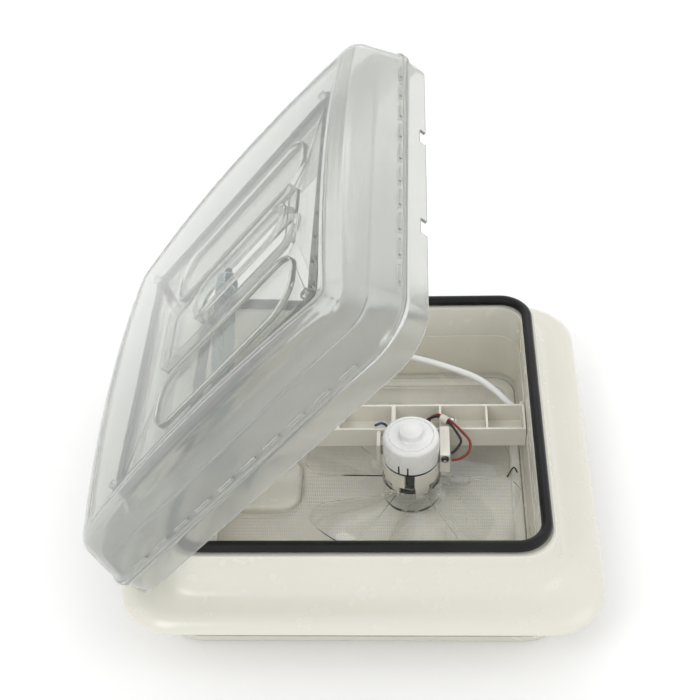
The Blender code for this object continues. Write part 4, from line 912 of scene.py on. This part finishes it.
# ---- Wiring ------------------------------------------------------------------------------------
class VENT_OT_wiring(Step, Operator):
    """Builds the power cable, the motor leads and their fittings"""

    bl_idname = "vent.wiring"
    bl_label = "Wiring"

    def build(self):
        z, wall = CENTRE.z, LINER_IN
        back_z, right_z, right_y = z - 0.046, z - 0.040, BEAM_HIGH.y + 0.0058
        route = (
            (-0.028, wall - 0.0008, back_z), (-0.028, wall - 0.0046, back_z),
            (-0.0276, wall - 0.0088, back_z + 0.0002), (-0.0250, wall - 0.0150, back_z + 0.0016),
            (-0.0140, wall - 0.0225, z - 0.0405), (0.008, 0.1075, z - 0.034), (0.042, 0.0976, z - 0.030),
            (0.0897, 0.0753, z - 0.030), (0.110, 0.0600, z - 0.0335), (0.1205, 0.0500, z - 0.0378),
            (0.1258, right_y + 0.0006, right_z + 0.0003), (wall - 0.0048, right_y, right_z),
            (wall - 0.0008, right_y, right_z),
        )
        jacket = moulded("cable_white", (0.80, 0.80, 0.79), 0.4, 0.03, 700.0)
        cord("mains_cable", route, 0.0028, jacket, "power_cable")
        node_finish(white_plastic(), "cable_gland_back", "cable_gland_right")
        sleeve_at, along = Vector((0.0672, 0.0158, z - 0.0255)), Vector((0.78, -0.62, -0.02)).normalized()
        side = Vector((0.62, 0.78, 0)) * 0.0013
        through = [sleeve_at + along * step for step in (-0.0085, -0.004, 0.001, 0.0065)]
        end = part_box("motor_clamp")[1].x - CENTRE.x + 0.0013
        black = [(0.0485, 0.0215, z - 0.044), (0.0510, 0.0235, z - 0.034)]
        black += [point - side for point in through]
        black += [(0.0765, 0.0010, z - 0.0260), (0.0795, -0.0065, z - 0.0275), (0.0760, -0.0125, z - 0.0300)]
        black += [(end, -0.0165, z - 0.0320)]
        red = [(0.0530, 0.0275, z - 0.044), (0.0550, 0.0270, z - 0.034)]
        red += [point + side for point in through]
        red += [(0.0815, 0.0010, z - 0.0255), (0.0868, -0.0080, z - 0.0270), (0.0855, -0.0165, z - 0.0300)]
        red += [(0.0785, -0.0210, z - 0.0330), (end, -0.0215, z - 0.0345)]
        blue = [(0.0190, 0.0215, z - 0.044), (0.0175, 0.0190, z - 0.0350), (0.0135, 0.0155, z - 0.0285)]
        blue += [(0.0080, 0.0125, z - 0.0280)]
        for name, path, tone in (
            ("lead_black", black, (0.018, 0.014, 0.014)),
            ("lead_red", red, (0.23, 0.032, 0.020)),
            ("lead_blue", blue, (0.03, 0.05, 0.20)),
        ):
            finish = moulded(name, tone, 0.35, 0.1)
            cord(f"{name}_wire", path, 0.0011, finish, name)
        hook = ((0.1205, 0.0085, z - 0.0885), (0.1262, 0.0150, z - 0.0833), (0.1296, 0.0128, z - 0.0872))
        piece("screen_hook", swept(shifted(hook), circle(0.0006, 16)), black_plastic(), "frame")
        node_finish(moulded("sleeve_plastic", (0.66, 0.62, 0.55), 0.45, 0.08), "lead_sleeve")


def shifted(route):
    """Plan places counted from the opening's centre, as points of the frame."""
    return [Vector(point) + Vector((CENTRE.x, CENTRE.y, 0)) for point in route]


# ---- Lid ---------------------------------------------------------------------------------------
def lid_corner(half):
    return max(0.008, LID_CORNER + half - LID_HALF)


def lid_outline(half, w, steps=12, sides=10):
    outline = rounded_rect(half, half, lid_corner(half), steps, sides, (LID_CENTRE_X, 0))
    return at_height(outline, LID_BASE_Z + w)


def crowned(half, w, steps=12, sides=10):
    """A ring of the dome, swelling from the welded joint up to the full crown at the shoulder."""
    share = max(0.0, min(1.0, (w - 0.0243) / 0.0299))
    ring = lid_outline(half, w, steps, sides)
    for point in ring:
        bow = 1 - 0.5 * (((point.x - LID_CENTRE_X) / LID_HALF) ** 2 + (point.y / LID_HALF) ** 2)
        point.z += share * settings().lid.crown * (bow - 0.15) / 0.85
    return ring


def frost_sides(shell, inner):
    """Gives the faces further out than inner the frosted finish."""
    frosted = lid_frosted()
    shell.data.materials.append(frosted)
    back = LID_PLACE.inverted()
    for face in shell.data.polygons:
        middle = back @ face.center
        if max(abs(middle.x - LID_CENTRE_X), abs(middle.y)) > inner:
            face.material_index = 1


class VENT_OT_dome(Step, Operator):
    """Builds the outer shell of the lid"""

    bl_idname = "vent.dome"
    bl_label = "Outer Dome"

    def build(self):
        clear = lid_clear()
        shoulder, window, top, foot = LID_HALF - 0.0142, LID_HALF - 0.0312, 0.0572, 0.0196
        path = [
            (LID_HALF + 0.002, foot), (LID_HALF + 0.002, foot + 0.0026), (LID_HALF - 0.0002, foot + 0.0044),
            (shoulder + 0.0098, top - 0.0202), (shoulder + 0.0054, top - 0.0072),
            (shoulder + 0.0034, top - 0.0030),
            (shoulder, top), (shoulder - 0.0054, top + 0.0014), (window + 0.0040, top + 0.0019),
            (window, top + 0.0008), (window - 0.0060, top + 0.0011),
        ]
        path = filleted(path, 0.0045, 5)
        path += [Vector((window * share, top + 0.0012)) for share in (0.85, 0.7, 0.55, 0.4, 0.25, 0.12, 0.04)]
        inner = offset_path(path, -0.0025)
        rings = [crowned(half, w) for half, w in reversed([tuple(point) for point in path])]
        rings += [crowned(half, w) for half, w in inner]
        shell = piece("dome_shell", bridged(rings), clear, "lid", ("outer_dome",), LID_PLACE, sharp=50)
        frost_sides(shell, window - 0.001)


class VENT_OT_pan(Step, Operator):
    """Builds the inner shell of the lid with its skirt, knuckles, ribs and welded tabs"""

    bl_idname = "vent.pan"
    bl_label = "Inner Pan"

    def build(self):
        clear = lid_clear()
        half, seat, plateau, joint, level = LID_HALF, PAN_SEAT, 0.1265, LID_JOINT, PAN_LEVEL
        rise = [
            (half - 0.0040, joint + 0.0022), (half - 0.0092, seat - 0.0037), (half - 0.0116, seat),
            (plateau + 0.0045, seat), (plateau + 0.0020, seat + 0.0033), (plateau, level - 0.0017),
            (plateau - 0.0020, level),
        ]
        flange = [
            (half, 0), (half, joint - 0.0029), (half + 0.002, joint - 0.0024), (half + 0.002, joint),
            (half - 0.0018, joint),
        ]
        under = offset_path([(half, 0), (half, joint - 0.0017), *rise], -PAN_GAUGE)
        rings = [lid_outline(r, w) for r, w in flange]
        rings += [lid_outline(r, w) for r, w in filleted(rise, 0.002, 3)]
        rings += [track_hole(level), track_hole(level - PAN_GAUGE)]
        rings += [lid_outline(r, w) for r, w in reversed(filleted(under, 0.002, 3))]
        pan = piece("pan_shell", bridged(rings, True), clear, "lid", ("inner_pan",), LID_PLACE, sharp=50)
        notches = []
        for side in (-1, 1):
            low = Vector((HINGE.x - 0.008, side * HINGE_Y - 0.0143, LID_BASE_Z - 0.002))
            notches.append(block(low, low + Vector((0.018, 0.0286, 0.010))))
        for y in (-0.062, 0.046):
            low = Vector((LID_CENTRE_X + half - 0.006, y, LID_BASE_Z - 0.002))
            notches.append(block(low, low + Vector((0.012, 0.016, 0.0075))))
        cut_out(pan, gathered(notches), LID_PLACE)
        frost_sides(pan, plateau + 0.004)
        details = [knuckle_shape(side * HINGE_Y) for side in (-1, 1)]
        piece("lid_knuckles", gathered(details), clear, "lid", (), LID_PLACE, 0.0004)
        loops = [loop_shape(side, level) for side in (-1, 1)]
        # The rails and clips get a dark grey tint of the clear plastic. This is painted shade standing in for
        # how dark the clear rails look, not a colour the plastic has.
        dark_clear_painted_shade = acrylic("clear_plastic", (0.30, 0.31, 0.295), 0.06, use="_rail")
        rails = edge_rails(plateau - 0.004, level)
        piece("pan_rails", gathered(rails), dark_clear_painted_shade, "lid", (), LID_PLACE)
        piece("pan_ribs", gathered(loops), clear, "lid", (), LID_PLACE, sharp=50)
        tabs = []
        for axis in (0, 1):
            for side in (-1, 1):
                tabs += tab_row(axis, side)
        frosted = lid_frosted()
        piece("weld_tabs", gathered(tabs), frosted, "lid", (), LID_PLACE, 0.0003)
        for end in ("hinge", "free"):
            node_finish(clear, f"lid_post_{end}_front", f"lid_post_{end}_back")
        node_finish(screw_steel(), "hinge_pin_front", "hinge_pin_back")


def track_hole(w):
    outline = rounded_rect(0.0833, 0.0363, 0.0083, 12, 10, (TRACK_X, 0))
    return at_height(outline, LID_BASE_Z + w)


def knuckle_shape(middle):
    outline = [Vector((0.0040, 0.0088)), Vector((-0.0040, 0.0088))]
    for step in range(33):
        angle = math.pi + math.pi * step / 32
        outline.append(HINGE_RADIUS * toward(angle))
    rings = []
    for y in (-0.007, 0.007):
        rings.append([Vector((HINGE.x + p.x, middle + y, HINGE.z + p.y)) for p in outline])
    return bridged(rings)


def loop_shape(side, level):
    """A rounded rib that stands on the pan beside the track."""
    near, far = 0.041, 0.101
    middle = (LID_CENTRE_X + 0.0096, side * (near + far) / 2)
    rings = []
    for inset, rise in (
        (0, -0.0005), (0.0004, 0.0036), (0.0008, 0.004), (0.0020, 0.004), (0.0024, 0.0036), (0.0028, -0.0005),
    ):
        outline = rounded_rect(0.086 - inset, (far - near) / 2 - inset, 0.024 - inset, 16, 1, middle)
        rings.append(at_height(outline, LID_BASE_Z + level + rise))
    return bridged(rings, True)


def edge_rails(half, level):
    """Two low rails round the pan's raised middle, broken by pairs of clips."""
    rails = []
    for inset in (0.0, 0.0052):
        rings = []
        for step, rise in ((0, -0.0004), (0.0003, 0.0026), (0.0015, 0.0026), (0.0018, -0.0004)):
            size = half - inset - step
            outline = rounded_rect(size, size, 0.006, 6, 1, (LID_CENTRE_X, 0))
            rings.append(at_height(outline, LID_BASE_Z + level + rise))
        rails.append(bridged(rings, True))
    for number in range(-4, 5):
        for side in (-1, 1):
            along, out = number * 0.0265, side * (half - 0.0044)
            for half_x, half_y, x, y in ((0.002, 0.0018, along, out), (0.0018, 0.002, out, along)):
                place = Vector((LID_CENTRE_X + x, y, LID_BASE_Z + level))
                low, high = Vector((-half_x, -half_y, -0.0004)), Vector((half_x, half_y, 0.0022))
                rails.append(block(place + low, place + high))
    return rails


def tab_row(axis, side):
    """Welded tabs along one side of the joint between the shells."""
    spacing, size = settings().lid.tab_spacing, settings().lid.tab_length
    count = int((2 * LID_HALF - 0.06) / spacing)
    tabs = []
    for number in range(count):
        along = (number - (count - 1) / 2) * spacing
        out = side * (LID_HALF + 0.0004)
        low = Vector((along - size / 2, min(out, out + side * 0.0016), 0.0238))
        high = Vector((along + size / 2, max(out, out + side * 0.0016), 0.0258))
        if axis == 0:
            low.xy, high.xy = low.yx, high.yx
        shift = Vector((LID_CENTRE_X, 0, LID_BASE_Z))
        tabs.append(block(low + shift, high + shift))
    return tabs


class VENT_OT_track(Step, Operator):
    """Builds the slotted track that the lift arm's roller runs in"""

    bl_idname = "vent.track"
    bl_label = "Slide Track"

    def build(self):
        clear = acrylic("clear_plastic", settings().lid.tint, 0.05, 0.00005, use="_track")
        middle, half = 0.0539, 0.00575
        groove_low, groove_high, gauge = middle - half, middle + half, 0.002
        slot, groove, edge = 0.014, 0.019, 0.036
        wall, low, high = groove + 0.0025, 0.0518, 0.0538
        profile = (
            (slot, groove_low - gauge), (wall, groove_low - gauge), (wall, low), (edge, low),
            (edge, high + 0.006),
            (edge - gauge, high + 0.006), (edge - gauge, high), (wall, high), (wall, groove_high + gauge),
            (slot, groove_high + gauge), (slot, groove_high), (groove, groove_high), (groove, groove_low),
            (slot, groove_low),
        )
        rings = []
        for reach, w in profile:
            if reach > wall:
                size = (0.083 - edge + reach, reach, 0.008 - edge + reach)
                place = (TRACK_X, 0)
            else:
                size = (0.0538 - slot + reach, reach, reach)
                place = (LID_CENTRE_X + 0.0268, 0)
            rings.append(at_height(rounded_rect(*size, 16, 1, place), LID_BASE_Z + w))
        piece("track_plate", bridged(rings, True), clear, "lid", ("slide_track",), LID_PLACE, 0.0003)


class VENT_OT_fixings(Step, Operator):
    """Finishes the trim screws"""

    bl_idname = "vent.fixings"
    bl_label = "Trim Screws"

    def build(self):
        node_finish(screw_steel(), *(f"trim_screw_{side}" for side in ("free", "back", "hinge", "front")))


# ---- Stage -------------------------------------------------------------------------------------
class VENT_OT_stage(Step, Operator):
    """Makes the floor, the lights and the camera"""

    bl_idname = "vent.stage"
    bl_label = "Stage"

    def build(self):
        self.floor()
        self.world()
        bpy.context.scene.view_settings.view_transform = "Standard"
        for name, place, size, power in (
            ("key", (-0.9, -1.1, 1.6), 0.9, 7.0),
            ("fill", (1.5, -0.5, 1.2), 1.2, 3.0),
            ("back", (0.2, 1.5, 1.1), 1.2, 3.0),
        ):
            self.light(name, Vector(place), size, power)
        self.camera()

    def floor(self):
        made = bpy.data.materials.new("floor_white")
        made.use_nodes = True
        shader = made.node_tree.nodes["Principled BSDF"]
        shader.inputs["Base Color"].default_value = (0.97, 0.97, 0.97, 1)
        shader.inputs["Roughness"].default_value = 0.9
        shader.inputs["Specular IOR Level"].default_value = 0.1
        points = [Vector((x, y, cad_box[0].z - 0.0002)) for x, y in ((-6, -6), (6, -6), (6, 6), (-6, 6))]
        mesh = mesh_from("floor", points, [(0, 1, 2, 3)])
        mesh.materials.append(made)
        linked("floor", mesh)

    def world(self):
        world = bpy.data.worlds.new("studio")
        world.use_nodes = True
        light = world.node_tree.nodes["Background"]
        light.inputs["Color"].default_value = (1.0, 1.0, 1.0, 1)
        light.inputs["Strength"].default_value = 0.98
        bpy.context.scene.world = world

    def light(self, name, place, size, power):
        lamp = bpy.data.lights.new(name, "AREA")
        lamp.shape, lamp.size, lamp.energy = "DISK", size, power
        made = linked(name, lamp)
        made.location = place
        made.rotation_euler = (Vector((0, 0, 0.1)) - place).to_track_quat("-Z", "Y").to_euler()

    def camera(self):
        """The long lens, aimed a little off the seal's middle and rolled slightly."""
        turn, lift, roll = math.radians(3.239), math.radians(45.01), math.radians(-2.618)
        distance, lens, width = 1.0982, 68.955, 36.0
        aim_x, aim_y = math.atan(0.015714286 * width / lens), math.atan(0.09 * width / lens)
        back = Vector((math.sin(turn) * math.cos(lift), -math.cos(turn) * math.cos(lift), math.sin(lift)))
        right = Vector((math.cos(turn), math.sin(turn), 0))
        ahead, up = -back, back.cross(right)
        ahead, right = (
            ahead * math.cos(aim_x) - right * math.sin(aim_x),
            right * math.cos(aim_x) + ahead * math.sin(aim_x),
        )
        ahead, up = (
            ahead * math.cos(aim_y) + up * math.sin(aim_y),
            up * math.cos(aim_y) - ahead * math.sin(aim_y),
        )
        across = right * math.cos(roll) + up * math.sin(roll)
        upward = up * math.cos(roll) - right * math.sin(roll)
        place = CENTRE + back * distance
        camera = bpy.data.cameras.new("studio_camera")
        camera.lens, camera.sensor_width = lens, width
        made = linked("studio_camera", camera)
        rows = [(*(vector[i] for vector in (across, upward, -ahead)), place[i]) for i in range(3)]
        made.matrix_world = Matrix((*rows, (0, 0, 0, 1)))
        bpy.context.scene.camera = made


STEPS = (
    VENT_OT_stage,
    VENT_OT_frame,
    VENT_OT_trim,
    VENT_OT_screen,
    VENT_OT_controls,
    VENT_OT_lift,
    VENT_OT_beam,
    VENT_OT_motor,
    VENT_OT_fan,
    VENT_OT_wiring,
    VENT_OT_dome,
    VENT_OT_pan,
    VENT_OT_track,
    VENT_OT_fixings,
)


class VENT_PT_pieces(Panel):
    """Lists the steps that build the vent cover, and its sizes and colours"""

    bl_idname = "VENT_PT_pieces"
    bl_label = "Vent Cover"
    bl_space_type = "VIEW_3D"
    bl_region_type = "UI"
    bl_category = "Vent Cover"

    def draw(self, context):
        chosen = context.scene.vent_cover
        for group in (chosen.frame, chosen.motor, chosen.lid):
            column = self.layout.column(align=True)
            for name in type(group).__annotations__:
                column.prop(group, name)
        column = self.layout.column(align=True)
        for step in STEPS:
            column.operator(step.bl_idname)


CLASSES = (VentFrameSettings, VentMotorSettings, VentLidSettings, VentSettings, *STEPS, VENT_PT_pieces)


def register():
    for made in CLASSES:
        bpy.utils.register_class(made)
    bpy.types.Scene.vent_cover = PointerProperty(type=VentSettings)


def unregister():
    del bpy.types.Scene.vent_cover
    for made in reversed(CLASSES):
        bpy.utils.unregister_class(made)


def main():
    register()
    for step in STEPS:
        group, name = step.bl_idname.split(".")
        getattr(getattr(bpy.ops, group), name)()


if __name__ == "__main__":
    main()
